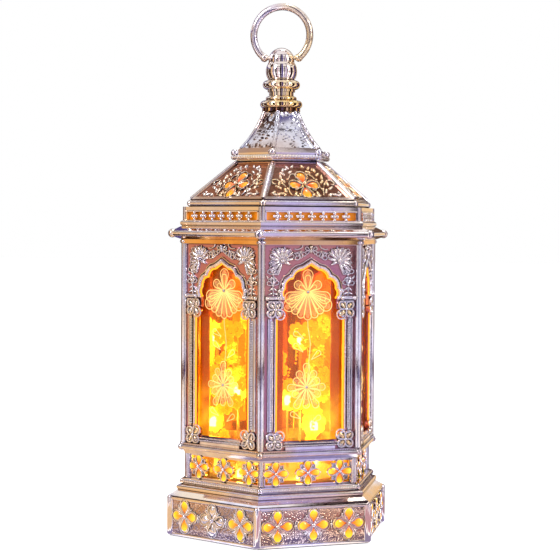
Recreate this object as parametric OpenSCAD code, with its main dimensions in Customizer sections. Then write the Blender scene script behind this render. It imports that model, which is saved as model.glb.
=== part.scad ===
// Hexagonal festival lantern with arched amber windows, a pierced roof and a hanging ring.
// Millimetres, +Z up. The origin is on the resting plane, on the lantern's axis.
// Two corners of the hexagon point along -Y and +Y, and face 0 looks along +X.

/* [Base] */
// How far the plinth's corners stand out from the lower band's
plinth_overhang = 9.6; // [8:0.1:12]
// Height of the plinth
plinth_h = 21.5; // [20:0.5:26]
// Height of the stepped mouldings on top of the plinth
steps_h = 8.9; // [7.5:0.1:10.5]
// Wall thickness of the moulded shells
shell_t = 2; // [1.6:0.1:2.4]
// Height of the base plate above the resting plane
foot_h = 3.6; // [3.4:0.1:4.4]
// Thickness of the base plate
plate_t = 2; // [1.6:0.1:2.6]

/* [Lower band] */
// How far the lower band's corners are set in from the body's
band_inset = 2.9; // [1.6:0.1:3.6]
// Height of the lower band
band_h = 13.1; // [11:0.1:16]

/* [Body] */
// Corner radius over the corner posts
body_r = 55.3; // [50:0.1:62]
// How far the sill moulding's corners stand out from the body's
sill_overhang = 1.3; // [1:0.1:3]
// Height of the sill moulding
sill_h = 5.8; // [4.8:0.1:7]
// Height of the window storey
window_h = 104.9; // [90:0.5:125]
// Diameter of the corner posts
post_d = 3.8; // [3.4:0.1:4.2]
// Thickness of the window panels
panel_t = 2; // [1.6:0.1:2.2]
// Thickness of the amber panes
pane_t = 1.2; // [1:0.1:1.5]
// Width of the column on each side of a window opening
column_w = 6.3; // [5.8:0.1:7.5]
// Height of the rail under the window opening
opening_rail_h = 4.7; // [4.2:0.1:6]
// Height of the wall over the arch's point
arch_head_h = 9.5; // [8:0.1:13]
// Width of the shoulder from the side of the opening in to the arch
shoulder_w = 4.1; // [3.4:0.1:5]
// Rise of the arch above its springing line
arch_rise = 17.5; // [15:0.1:19]
// Overall width of the corner clovers of a window
clover_d = 9.8; // [8.8:0.1:10.4]

/* [Eave] */
// Height of the head rail above the windows
head_h = 2.6; // [2:0.1:3.4]
// How far the eave's corners stand out from the body's
eave_overhang = 7.3; // [5:0.1:10]
// Height of the eave
eave_h = 6.6; // [5.6:0.1:7.6]

/* [Roof] */
// How far the frieze's corners are set in from the body's
frieze_inset = 0.8; // [0.4:0.1:2]
// Height of the frieze
frieze_h = 10.3; // [9.6:0.1:11.4]
// Number of little crosses along each side of the frieze
frieze_crosses = 7; // [5:1:8]
// How far the roof edge roll's corners are set in from the frieze's
edge_inset = 2.4; // [1.4:0.1:3.4]
// Height of the roof edge roll
edge_h = 3.6; // [3.2:0.1:4.4]
// Rise of the roof slope
roof_rise = 20.4; // [18:0.1:25]
// Corner radius of the roof where it meets the collar
roof_top_r = 24.8; // [23.6:0.1:25.6]
// How far the beaded collar's corners stand out from the roof's top
collar_overhang = 3.3; // [2.4:0.1:5]
// Height of the beaded collar
collar_h = 7.4; // [6.8:0.1:9]

/* [Spire] */
// How far the spire's foot is set in from the roof's top
spire_inset = 2; // [1.4:0.1:3]
// Corner radius at the top of the spire
spire_top_r = 9.8; // [9.2:0.1:10.4]
// Height of the spire
spire_h = 20; // [17:0.1:24]
// Depth of the hollow curve of the spire
spire_dip = 1.2; // [0.8:0.1:1.8]

/* [Finial] */
// Height of the ball's centre above the spire
ball_h = 21.5; // [21:0.1:24]
// Radius of the ball
ball_r = 8.35; // [8:0.05:8.7]
// Radius of the lower collar of the neck
flange_r = 11.3; // [10.8:0.1:12.2]
// Radius of the upper collar of the neck
upper_collar_r = 10; // [9.2:0.1:10.8]
// Radius of the waist of the neck
waist_r = 6.6; // [6:0.1:7.2]
// Radius of the hood that the ring hangs in
hood_r = 6.9; // [6.6:0.1:7.3]

/* [Ring] */
// Outer diameter of the hanging ring
ring_d = 34.2; // [33:0.1:38]
// Diameter of the ring's wire
ring_wire = 3.75; // [3.2:0.05:4]
// Diameter of the ring's pivot pins
pin_d = 2.2; // [1.8:0.1:2.6]
// Length of a pivot pin in the hood
pin_l = 3.6; // [3:0.1:4.2]

/* [Flowers] */
// Distance between the tips of neighbouring plinth flowers
base_flower_gap = 4.5; // [3:0.1:6]
// Distance from a plinth flower's tip to the corner of the plinth's ground
base_flower_margin = 3.5; // [2.6:0.1:5]
// Width of the roof flowers
roof_flower_w = 15.4; // [13:0.1:16]
// Length of the roof flowers, up the slope
roof_flower_l = 19; // [16:0.1:20]
// Distance from the roof flower's foot to the foot of the slope
roof_flower_rise = 1.6; // [1.2:0.1:4]

/* [Lamps and battery] */
// Heights of the lamp bulbs above the lamp board
lamp_heights = [72, 37, 28, 71.5, 43, 27.5]; // [20:0.5:74]
// Diameter of a lamp bulb
lamp_d = 5; // [4:0.1:6]
// Diameter of a battery cell
cell_d = 14.2; // [13.6:0.1:14.5]
// Length of a battery cell
cell_l = 50; // [48:0.1:51]
// Number of battery cells
cells = 3; // [2:1:3]
// Travel of the switch
switch_travel = 4; // [2:0.5:5]

/* [Hidden] */
$fn = 48;
sides = 6;
step_turn = 360 / sides;
half_turn = step_turn / 2;
flat_share = cos(half_turn);          // distance to a face over corner radius
slip = 0.2;                           // gap round pieces that drop into each other
running = 0.3;                        // gap round what moves
over = 0.5;                           // overrun of every cut
sink = 0.3;                           // how deep an ornament is rooted in its wall

// Corner radii
band_r = body_r - band_inset;
plinth_r = band_r + plinth_overhang;
sill_r = body_r + sill_overhang;
eave_r = body_r + eave_overhang;
frieze_r = body_r - frieze_inset;
edge_r = frieze_r - edge_inset;
collar_r = roof_top_r + collar_overhang;
spire_foot_r = roof_top_r - spire_inset;
full_reach = 3 * plinth_r;            // longer than any side

// Levels, from the resting plane up
z_plate = foot_h + plate_t;
z_band = plinth_h + steps_h;
z_sill = z_band + band_h;
z_window = z_sill + sill_h;
z_head = z_window + window_h;
z_eave = z_head + head_h;
z_frieze = z_eave + eave_h;
z_edge = z_frieze + frieze_h;
z_roof = z_edge + edge_h;
z_collar = z_roof + roof_rise;
z_spire = z_collar + collar_h;
z_neck = z_spire + spire_h;
z_ball = z_neck + ball_h;

// Plinth: rails and corner rolls stand proud of the pierced ground
ground_depth = 0.9;
rail_h = 2.6;
corner_roll_d = 4.2;
ground_a = plinth_r * flat_share - ground_depth;
inner_a = ground_a - shell_t;
ground_half = ground_a * tan(half_turn);
flower_gap = 1.1;
flower_clear = 0.65;                  // between a flower's tips and the rails
flower_lift = 0.6;                    // of the flowers over the middle of the plinth
jewel_drop = 0.8;                     // of the liners' faces below the ground of the shells
base_petal_w = 4.4;
petal_waist = 0.92;                   // half width of a petal's sides over its round end's radius
rim_w = 0.6;
rim_rise = 0.6;
button_d = 2;
bead_d = 1.4;
leaf_l = 4.6;
leaf_w = 1.5;
leaf_rise = 0.5;
flower_z = plinth_h / 2 + flower_lift;
base_flower_h = plinth_h - 2 * (rail_h + flower_clear);
base_flower_w = (ground_half - base_flower_margin - base_flower_gap) * 2 / 3;
base_flower_pitch = base_flower_w + base_flower_gap;
base_lens_t = 1.3;
base_lens_w = 2 * (base_flower_pitch + base_flower_w / 2) + 2 * slip;
plate_gap = 1;                        // round the base plate, clear of the corner rolls
plate_a = inner_a - plate_gap;

// Steps of the base, as shares of the run from plinth to band and of the height
steps_run = plinth_r - band_r;
step_shares = [[0.06, 0], [0.18, 0.1], [0.5, 0.3], [0.56, 0.34], [0.6, 0.6], [0.78, 0.66], [0.8, 1]];
step_roll_shares = [0.62, 0.47];
rope_shares = [0.83, 0.82];
step_roll_d = 2.5;
rope_d = 2.4;
deck_t = 2;
deck_lip = 2.4;
deck_ledge = 2.2;
deck_r = band_r - deck_lip;
column_d = 6;
column_r = deck_r;
screw_d = 2.6;
screw_l = 12;
screw_head_d = 5;
screw_head_h = 1.6;

// Lower band: posts, rails and pointed flowers over an amber liner
band_post_d = 3.2;
band_post_r = band_r - band_post_d / 2;
band_a = band_post_r * flat_share;
band_t = 1.6;
band_rail_h = 0.9;
band_petal_w = 4.6;
band_petal_rim = 0.7;
band_leaf_l = 5.2;
band_leaf_w = 2;
liner_t = 1.4;
band_liner_a = band_a - band_t - slip;
band_side = 2 * band_post_r * sin(half_turn) - band_post_d + 2 * sink;
band_flower_pitch = (band_side - band_h) / 2;

// Windows
post_r = body_r - post_d / 2;
panel_a = post_r * flat_share;
panel_w = 2 * post_r * sin(half_turn) - post_d;
opening_w = panel_w - 2 * column_w;
arch_w = opening_w - 2 * shoulder_w;
spring_h = window_h - arch_head_h - arch_rise;
pane_a = panel_a - panel_t - slip;
pane_w = 2 * (pane_a - pane_t) * tan(half_turn) - 2 * slip;
ring_seat_a = pane_a - pane_t - slip - liner_t;
sill_roll_d = 2.2;
sill_slope = 1.2;
corner_ball_d = 3.6;
capital_h = 1.7;
capital_rise = 1;
clover_rise = 0.9;
clover_drop = 5.8;                    // below the springing line
arch_band_w = 1.7;
arch_band_rise = 0.8;
strip_w = 1.5;
strip_rise = 0.6;
ledge_rise = 1.6;
// Foils of the arch: distance from the centre line, height over the springing line and radius,
// as shares of half the width, of the rise and of half the width
foil_shares = [[0.324, 0.549, 0.361], [0.665, 0.326, 0.326], [0.819, 0.137, 0.243]];
peak_share = 0.32;                    // half width of the pointed top
peak_slope = 31;
palmette_leaves = 7;
palmette_l = 8;
palmette_w = 1.9;
palmette_share = 0.62;                // place beside the arch

// Head and eave
head_cove = 1;
knop_share = 0.8;                     // thickness of the knop round a post over the head rail's height
eave_roll_d = 3.1;
eave_roll_share = 0.45;
eave_ball_d = 4.6;
ball_proud = 0.4;                     // how far the corner balls stand out of the roll
eave_seat_a = ring_seat_a + liner_t / 2;

// Frieze
frieze_t = 2;
frieze_a = frieze_r * flat_share;
frieze_sill_h = 3.4;
frieze_slot_h = 4.1;
frieze_slot_w = frieze_r - 2 * post_d / 2 - frieze_t;
cross_w_share = 0.42;                 // width of a cross over the slot's height
cross_waist_share = 0.3;
frieze_liner_a = frieze_a - frieze_t - slip;

// Roof
edge_roll_d = edge_h * 0.9;
roof_foot_r = edge_r - 1.1 * edge_roll_d / 2;
roof_t = 2;
roof_run = (roof_foot_r - roof_top_r) * flat_share;
roof_pitch = atan2(roof_rise, roof_run);
roof_slope = norm([roof_rise, roof_run]);
roof_border = 1.8;
roof_border_rise = 0.7;
roof_rib_d = 2.8;
roof_flower_y = roof_flower_rise + roof_flower_l / 2;
roof_petal_w = 5.2;
roof_liner_t = 1.2;

// Collar and spire
collar_roll_d = 2.6;
collar_ball_d = 4;
collar_t = 3;
spire_t = 1.8;
spire_rib_d = 2.4;
spire_cap_t = 2.4;

// Finial
lip_r = spire_top_r + 0.4;
lip_h = 1.6;
flange_d = 4.2;
neck_roll_r = 8.3;
neck_roll_d = 2.6;
step_r = 7.4;
step_h = 1.3;
upper_collar_d = 4.8;
ball_seat = 4.9;                      // below the ball's centre
hood_rise = 5.7;                      // of the dome's centre over the ball's centre
hood_skirt = 0.9;
finial_screw_d = 3;
finial_screw_l = 11;
finial_head_d = 6;
finial_head_h = 2;

// Ring: an open loop whose ends turn into pivot pins
ring_r = (ring_d - ring_wire) / 2;
ring_knuckle_d = ring_wire * 1.16;
ring_end_x = hood_r + running + ring_knuckle_d / 2;
ring_end_h = sqrt(ring_r * ring_r - ring_end_x * ring_end_x);
ring_gap_turn = asin(ring_end_x / ring_r);
pin_fit = 0.1;                        // radial play of the pins
pin_rise = 7.3;                       // over the ball's centre
z_pin = z_ball + pin_rise;

// Lamps
board_r = deck_r * flat_share - 6.3;
board_t = 1.6;
z_board = z_band + board_t;
// Places of the lamps, as shares of the board's radius
lamp_places = [[0.365, -0.375], [0.068, 0.287], [0.605, -0.657], [-0.941, 0.105],
    [-0.578, -0.103], [-0.862, -0.43]];
stem_d = 1.6;
band_lamp_d = 3;
band_lamp_h = 4;
band_lamp_r = board_r - 2 * band_lamp_d;
lead_d = 1.4;

// Battery box, door and switch
cell_gap = 0.5;
cell_pitch = cell_d + cell_gap;
contact_l = 3.5;
contact_t = 0.6;
box_t = 1.4;
well_w = cells * cell_pitch + cell_gap;
well_l = cell_l + 2 * contact_l;
box_h = foot_h + cell_d - z_plate + 2 * box_t;
cell_z = foot_h + cell_d / 2;
nib_d = 5.2;
nib_h = 1.2;
door_t = 1.4;
door_lap = 2;
door_w = well_w + 2 * door_lap;
door_l = well_l + 2 * door_lap;
door_top = foot_h - running;
guide_t = 1.4;
guide_lip = 1.6;
guide_lip_h = 0.8;
grip_w = 18;
grip_rib = 0.8;
grip_rise = 0.5;
grip_ribs = 5;
switch_x = -(well_w / 2 + box_t + plate_a) / 2; // midway between the battery box and the edge
knob_w = 3.2;
knob_l = 4.6;
knob_flange = 1.2;
knob_flange_h = 1.4;
knob_drop = 2;
switch_t = 1.2;
switch_h = 6;

chrome = "#c9c8d4";
warm_chrome = "#d8c49a";
amber = "#f39a0c";
black = "#2a2a2c";
steel = "#b9bcc0";

// Placing

// Its children's own Z points out of face 0, at this distance from the axis; their X runs along it
module on_face(distance) {
    translate([distance, 0, 0]) rotate([90, 0, 90]) children();
}

module on_faces(distance) {
    for (i = [0 : sides - 1]) rotate(i * step_turn) on_face(distance) children();
}

module on_corners(radius, skip = 1) {
    for (i = [0 : skip : sides - 1])
        rotate(half_turn + i * step_turn) translate([radius, 0, 0]) children();
}

// On a roof slope: X runs along the face, Y up the slope from the roof's foot, Z out of it
module on_slopes(depth) {
    for (i = [0 : sides - 1])
        rotate(i * step_turn) translate([roof_foot_r * flat_share, 0, z_roof])
            rotate([0, roof_pitch - 90, 0]) rotate([90, 0, 90]) translate([0, 0, -depth]) children();
}

module mirrored() {
    children();
    mirror([1, 0, 0]) children();
}

// Forms

module hexagon(radius, height) {
    rotate(half_turn) cylinder(r = radius, h = height, $fn = sides);
}

module hex_ring(outer_a, inner_a, height) {
    difference() {
        hexagon(outer_a / flat_share, height);
        translate([0, 0, -over]) hexagon(inner_a / flat_share, height + 2 * over);
    }
}

// Solid whose upright outline, drawn in distance from a face's foot line, runs round all sides
module moulding() {
    intersection_for (i = [0 : sides / 2 - 1]) rotate(i * step_turn)
        rotate([90, 0, 0]) linear_extrude(height = full_reach, center = true) mirrored() children();
}

// Outline between two heights: the points give distance from the axis and height
module side_outline(points) {
    first = points[0];
    last = points[len(points) - 1];
    polygon(concat([[-over, first[1]]], points, [[-over, last[1]]]));
}

module roll(at, d) {
    translate(at) rotate(180) circle(d = d);
}

module hex_bore(bore_a, from, to) {
    translate([0, 0, from - over]) hexagon(bore_a / flat_share, to - from + 2 * over);
}

// Petal with its point at the origin and its round end along +X, drawn in a little at the waist
module petal(length, width) {
    r = width / 2;
    far = length - r;
    translate([far, 0]) circle(r);
    polygon([[0, 0], [far, r * petal_waist], [far, -r * petal_waist]]);
}

// Petal pointed at both ends, from the origin along +X
module pointed_petal(length, width) {
    r = (length * length / 4 + width * width / 4) / width;
    intersection() {
        translate([length / 2, r - width / 2]) circle(r);
        translate([length / 2, width / 2 - r]) circle(r);
    }
}

// Flower of four petals, widened on all sides by a given amount
module flower(wide, high, petal_w, grow = 0) {
    for (turn = [0 : 90 : 270]) rotate(turn) translate([flower_gap - 2 * grow, 0])
        petal((turn % 180 == 0 ? wide : high) / 2 - flower_gap + 3 * grow, petal_w + 2 * grow);
}

module clover(d) {
    lobe = d * 0.27;
    for (turn = [45 : 90 : 315]) rotate(turn) translate([d / 2 - lobe, 0]) circle(lobe);
    square(d / 2 - lobe / 2, center = true);
}

// Hanging ring and finial

module hanging_ring() color(chrome) {
    translate([0, 0, z_pin + ring_end_h]) rotate([90, 0, 0]) rotate(ring_gap_turn - 90)
        rotate_extrude(angle = 360 - 2 * ring_gap_turn) translate([ring_r, 0]) circle(d = ring_wire);
    mirrored() translate([ring_end_x, 0, z_pin]) {
        sphere(d = ring_knuckle_d);
        rotate([0, -90, 0]) cylinder(d = pin_d, h = pin_l + ring_knuckle_d / 2 + running);
    }
}

module finial_head() color(chrome) difference() {
    union() {
        intersection() {
            translate([0, 0, z_ball]) sphere(ball_r);
            translate([0, 0, z_ball - ball_seat]) cylinder(r = 2 * ball_r, h = 2 * ball_r);
        }
        translate([0, 0, z_ball + hood_rise]) sphere(hood_r);
        translate([0, 0, z_ball + hood_rise - hood_skirt]) cylinder(r = hood_r, h = hood_skirt);
    }
    translate([0, 0, z_pin]) rotate([0, 90, 0])
        cylinder(d = pin_d + 2 * pin_fit, h = 2 * hood_r + 2 * over, center = true);
}

module finial_neck() color(warm_chrome) {
    top = ball_h - ball_seat;
    flange_z = lip_h + flange_d / 2;
    roll_z = flange_z + flange_d / 2 + neck_roll_d * 0.38;
    collar_z = top - upper_collar_d / 2;
    step_z = collar_z - upper_collar_d / 2 - step_h;
    translate([0, 0, z_neck]) difference() {
        rotate_extrude() difference() {
            union() {
                square([lip_r, lip_h]);
                square([waist_r, top]);
                translate([flange_r - flange_d / 2, flange_z]) circle(d = flange_d);
                square([flange_r - flange_d / 2, flange_z + flange_d / 2]);
                translate([neck_roll_r - neck_roll_d / 2, roll_z]) circle(d = neck_roll_d);
                translate([0, step_z]) square([step_r, step_h]);
                translate([upper_collar_r - upper_collar_d / 2, collar_z])
                    circle(d = upper_collar_d);
                translate([0, collar_z - upper_collar_d / 2])
                    square([upper_collar_r - upper_collar_d / 2, upper_collar_d]);
            }
            translate([-2 * flange_r, -over]) square([2 * flange_r, top + 2 * over]);
        }
        translate([0, 0, -over]) cylinder(d = finial_screw_d, h = finial_screw_l - spire_cap_t + over);
    }
}

module finial_screw() color(steel) translate([0, 0, z_neck - spire_cap_t]) {
    cylinder(d = finial_screw_d, h = finial_screw_l);
    translate([0, 0, -finial_head_h]) cylinder(d = finial_head_d, h = finial_head_h);
}

// Spire, roof and frieze

// Arc through the spire's foot and top that bends inwards, in distance to a face and height
spire_foot = [spire_foot_r * flat_share, 0];
spire_top = [spire_top_r * flat_share, spire_h];
spire_chord = norm(spire_top - spire_foot);
spire_arc_r = (spire_chord * spire_chord / 4 + spire_dip * spire_dip) / (2 * spire_dip);
spire_out = [spire_top[1] - spire_foot[1], spire_foot[0] - spire_top[0]] / spire_chord;
spire_centre = (spire_foot + spire_top) / 2 + spire_out * (spire_arc_r - spire_dip);

module spire_side(t) {
    difference() {
        translate([-over, 0]) square([spire_foot_r + over, spire_h]);
        translate(spire_centre) circle(spire_arc_r + t, $fn = 4 * $fn);
    }
}

module spire_ribs() {
    rib_foot = [spire_foot_r, 0];
    rib_top = [spire_top_r, spire_h];
    chord = norm(rib_top - rib_foot);
    arc_r = (chord * chord / 4 + spire_dip * spire_dip) / (2 * spire_dip);
    out = [rib_top[1] - rib_foot[1], rib_foot[0] - rib_top[0]] / chord;
    centre = (rib_foot + rib_top) / 2 + out * (arc_r - spire_dip);
    sweep = 2 * asin(chord / 2 / arc_r);
    middle = atan2(-out[1], -out[0]);
    on_corners(0) translate([centre[0], 0, centre[1]]) rotate([90, 0, 0])
        rotate(middle - sweep / 2) rotate_extrude(angle = sweep, $fn = 4 * $fn)
            translate([arc_r + spire_rib_d / 4, 0]) circle(d = spire_rib_d, $fn = 24);
}

module spire() color(chrome) translate([0, 0, z_spire]) difference() {
    union() {
        moulding() spire_side(0);
        intersection() {
            spire_ribs();
            hexagon(2 * spire_foot_r, spire_h);
        }
    }
    difference() {
        translate([0, 0, -over]) moulding() spire_side(spire_t);
        translate([0, 0, spire_h - spire_cap_t]) hexagon(spire_foot_r, spire_h);
    }
    cylinder(d = finial_screw_d + 2 * slip, h = spire_h + over);
}

module collar_ring() color(warm_chrome) difference() {
    band_a = (collar_r - collar_ball_d / 2) * flat_share;
    roll_z = z_collar + collar_roll_d * 0.9;
    band_z = z_spire - collar_roll_d;
    union() {
        moulding() {
            side_outline([[roof_top_r * flat_share, z_collar], [band_a - rim_w, roll_z],
                [band_a, band_z - collar_roll_d / 2], [band_a, band_z],
                [spire_foot_r * flat_share + sink, z_spire]]);
            roll([collar_r * flat_share - collar_roll_d / 2, roll_z], collar_roll_d);
        }
        on_corners(band_a / flat_share) translate([0, 0, band_z]) sphere(d = collar_ball_d);
    }
    hex_bore(spire_foot_r * flat_share - collar_t, z_collar, z_spire);
}

module roof_flower(grow = 0) {
    translate([0, roof_flower_y]) flower(roof_flower_w, roof_flower_l, roof_petal_w, grow);
}

// Panel of one roof slope, set in from its edges
module slope_panel(inset) {
    side_lean = (roof_foot_r - roof_top_r) / 2 / roof_slope;
    low = roof_foot_r / 2 - inset * side_lean;
    high = roof_top_r / 2 + inset * side_lean;
    edge = inset * norm([1, side_lean]);
    polygon([[edge - low, inset], [low - edge, inset],
        [high - edge, roof_slope - inset], [edge - high, roof_slope - inset]]);
}

module roof_shell() color(chrome) {
    foot_a = roof_foot_r * flat_share;
    top_a = roof_top_r * flat_share;
    drop = roof_t / cos(roof_pitch);
    roll_a = edge_r * flat_share - edge_roll_d / 2;
    difference() {
        union() {
            moulding() {
                side_outline([[roll_a, z_edge], [roll_a, z_roof], [foot_a, z_roof],
                    [top_a, z_collar]]);
                roll([roll_a, z_edge + edge_h / 2], edge_roll_d);
            }
            on_corners((edge_r - edge_roll_d / 2)) translate([0, 0, z_edge + edge_h / 2])
                sphere(d = corner_ball_d);
            on_slopes(sink) linear_extrude(sink + roof_border_rise) {
                difference() {
                    slope_panel(0);
                    slope_panel(roof_border);
                }
                roof_flower(rim_w);
            }
        }
        moulding() side_outline([[foot_a, z_edge - over], [foot_a - roof_t, z_edge],
            [foot_a - roof_t, z_roof - drop + roof_t], [top_a - roof_t, z_collar - drop + roof_t]]);
        hex_bore(top_a - roof_t - collar_t, z_collar - drop, z_collar);
        on_slopes(roof_t * 2) linear_extrude(roof_t * 4) roof_flower();
    }
    on_slopes(sink) translate([0, roof_flower_y]) sphere(d = button_d);
}

module roof_liner() color(amber) {
    on_slopes(roof_t + slip + roof_liner_t) linear_extrude(roof_liner_t)
        translate([0, roof_flower_y])
            square([roof_flower_w + 2 * rim_w, roof_flower_l + rim_w], center = true);
    on_slopes(roof_t + slip + sink) linear_extrude(roof_t + slip + sink - jewel_drop)
        roof_flower(-slip / 2);
}

module frieze_cross() {
    high = frieze_slot_h / 2 + sink;
    wide = high * cross_w_share / 0.5;
    waist = wide * cross_waist_share;
    polygon([for (i = [0 : 7]) let (r = i % 2 == 1 ? waist : i % 4 == 0 ? wide : high)
        r * [cos(i * 45), sin(i * 45)]]);
}

module frieze_ring() color(chrome) {
    slot_z = z_frieze + frieze_sill_h;
    cap_z = slot_z + frieze_slot_h;
    pitch = frieze_slot_w / (frieze_crosses + 1);
    difference() {
        union() {
            moulding() {
                side_outline([[frieze_a + rim_w, z_frieze], [frieze_a + rim_w, slot_z - rim_w],
                    [frieze_a, slot_z], [frieze_a, z_edge]]);
                roll([frieze_a, z_frieze + frieze_sill_h / 2], frieze_sill_h - rim_w);
            }
            on_corners(frieze_r - post_d / 2) translate([0, 0, z_frieze])
                cylinder(d = post_d, h = frieze_h);
        }
        hex_bore(frieze_a - frieze_t, z_frieze, cap_z + rim_w - over);
        hex_bore(roof_foot_r * flat_share - roof_t, z_frieze, z_edge);
        on_faces(frieze_a) translate([-frieze_slot_w / 2, slot_z, -2 * frieze_t])
            cube([frieze_slot_w, frieze_slot_h, 4 * frieze_t]);
    }
    on_faces(frieze_a - frieze_t) linear_extrude(frieze_t + rim_rise)
        for (i = [1 : frieze_crosses])
            translate([i * pitch - frieze_slot_w / 2, slot_z + frieze_slot_h / 2]) frieze_cross();
}

module frieze_liner() color(amber) translate([0, 0, z_frieze])
    hex_ring(frieze_liner_a, frieze_liner_a - liner_t, frieze_sill_h + frieze_slot_h);

module eave_ring() color(chrome) difference() {
    tip_a = (eave_r - ball_proud) * flat_share - eave_roll_d / 2;
    tip_z = z_eave + eave_h * eave_roll_share;
    foot_a = (body_r + rim_w) * flat_share;
    union() {
        moulding() {
            side_outline([[foot_a, z_eave], [tip_a, tip_z - eave_roll_d / 2],
                [tip_a, tip_z + eave_roll_d / 2], [frieze_a + 2 * rim_w, z_frieze]]);
            roll([tip_a, tip_z], eave_roll_d);
        }
        on_corners(eave_r - eave_ball_d / 2) translate([0, 0, tip_z]) sphere(d = eave_ball_d);
    }
    hex_bore(eave_seat_a, z_eave, z_frieze);
}

// Window storey

module body_frame() color(chrome) {
    head_a = body_r * flat_share;
    on_corners(post_r) translate([0, 0, z_window]) cylinder(d = post_d, h = window_h + head_h);
    on_corners(post_r) translate([0, 0, z_head + head_h / 2]) rotate_extrude()
        translate([post_d / 2 - sink, 0]) circle(d = head_h * knop_share);
    difference() {
        moulding() side_outline([[panel_a + rim_w, z_head], [head_a, z_eave - head_cove],
            [head_a, z_eave]]);
        hex_bore(ring_seat_a, z_head, z_eave);
    }
}

// Opening of a window above its springing line, widened on all sides by a given amount
module arch(grow = 0) {
    half = arch_w / 2;
    top = arch_rise + grow / cos(peak_slope);
    peak = half * peak_share + grow;
    polygon([[-peak, 0], [peak, 0], [peak, top - peak * tan(peak_slope)], [0, top],
        [-peak, top - peak * tan(peak_slope)]]);
    core = [for (foil = foil_shares) [foil[0] * half, foil[1] * arch_rise]];
    polygon(concat([[0, 0]], [[core[2][0], 0]], [for (i = [2 : -1 : 0]) core[i]],
        [for (c = core) [-c[0], c[1]]], [[-core[2][0], 0]]));
    mirrored() for (foil = foil_shares)
        translate([foil[0] * half, foil[1] * arch_rise]) circle(foil[2] * half + grow);
}

function clover_x() = opening_w / 2 + clover_d * 0.1;
function clover_zs() = [opening_rail_h, spring_h - clover_drop];

module window_opening() {
    low = opening_rail_h;
    high = spring_h - clover_drop;
    difference() {
        union() {
            translate([-opening_w / 2, low]) square([opening_w, high - low]);
            translate([-arch_w / 2, low]) square([arch_w, spring_h - low + over]);
            translate([0, spring_h]) arch();
        }
        mirrored() for (z = clover_zs()) translate([clover_x(), z]) clover(clover_d);
    }
}

module palmette() {
    for (i = [0 : palmette_leaves - 1]) rotate(i * 150 / (palmette_leaves - 1) - 30)
        translate([rim_w, 0]) pointed_petal(palmette_l - rim_w, palmette_w);
    circle(d = button_d);
}

module window_panel(i) color(chrome) rotate((i - 1) * step_turn) translate([0, 0, z_window]) {
    corner = [opening_w / 2 * palmette_share + arch_w / 8, window_h - palmette_l - palmette_w / 4];
    column_x = (opening_w / 2 + panel_w / 2) / 2;
    low = opening_rail_h + clover_d / 2;
    high = spring_h - clover_drop - clover_d / 2;
    on_face(panel_a) translate([0, 0, -panel_t]) linear_extrude(panel_t) difference() {
        translate([-panel_w / 2, 0]) square([panel_w, window_h]);
        window_opening();
    }
    on_face(panel_a - sink) linear_extrude(sink + arch_band_rise) difference() {
        translate([0, spring_h]) arch(arch_band_w);
        translate([0, spring_h]) arch();
        translate([-opening_w / 2, 0]) square([opening_w, spring_h]);
    }
    on_face(panel_a - sink) linear_extrude(sink + clover_rise) mirrored()
        for (z = clover_zs()) translate([clover_x(), z]) difference() {
            clover(clover_d);
            clover(clover_d - 4 * rim_w);
        }
    on_face(panel_a - sink) mirrored() for (z = clover_zs())
        translate([clover_x(), z, 0]) sphere(d = button_d);
    on_face(panel_a - sink) linear_extrude(sink + capital_rise) mirrored()
        translate([arch_w / 2, spring_h - capital_h / 2])
            square([panel_w / 2 - arch_w / 2, capital_h]);
    on_face(panel_a - sink) linear_extrude(sink + strip_rise) mirrored()
        translate([column_x - strip_w / 2, low]) square([strip_w, high - low]);
    on_face(panel_a - sink) linear_extrude(sink + leaf_rise) mirrored()
        translate(corner) palmette();
    rotate([90, 0, 0]) linear_extrude(height = opening_w - clover_d, center = true)
        polygon([[panel_a - sink, 0], [panel_a + ledge_rise, 0],
            [panel_a + ledge_rise, opening_rail_h / 3], [panel_a, opening_rail_h],
            [panel_a - sink, opening_rail_h]]);
}

module window_pane(i) color(amber) rotate((i - 1) * step_turn)
    on_face(pane_a - pane_t) translate([-pane_w / 2, z_window])
        linear_extrude(pane_t) square([pane_w, window_h]);

module sill_ring() color(chrome) difference() {
    top_a = (body_r + rim_w) * flat_share;
    roll_a = (sill_r - corner_ball_d / 2) * flat_share;
    foot_a = (band_r + rim_w) * flat_share;
    roll_z = z_window - sill_slope - sill_roll_d / 2;
    union() {
        moulding() {
            side_outline([[foot_a, z_sill], [foot_a, z_sill + rim_w], [roll_a, roll_z],
                [roll_a, z_window - sill_slope], [top_a, z_window]]);
            roll([roll_a, roll_z], sill_roll_d);
        }
        on_corners(sill_r - corner_ball_d / 2) translate([0, 0, roll_z]) sphere(d = corner_ball_d);
    }
    hex_bore(ring_seat_a, z_sill, z_window);
}

// Lower band

module band_flower(grow) {
    for (turn = [0 : 90 : 270]) rotate(turn) translate([flower_gap / 2 - grow, 0])
        pointed_petal(band_h / 2 - flower_gap / 2 + 2 * grow, band_petal_w + 2 * grow);
}

module band_leaves() {
    for (turn = [45 : 90 : 315]) rotate(turn) translate([flower_gap, 0])
        pointed_petal(band_leaf_l, band_leaf_w);
}

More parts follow.
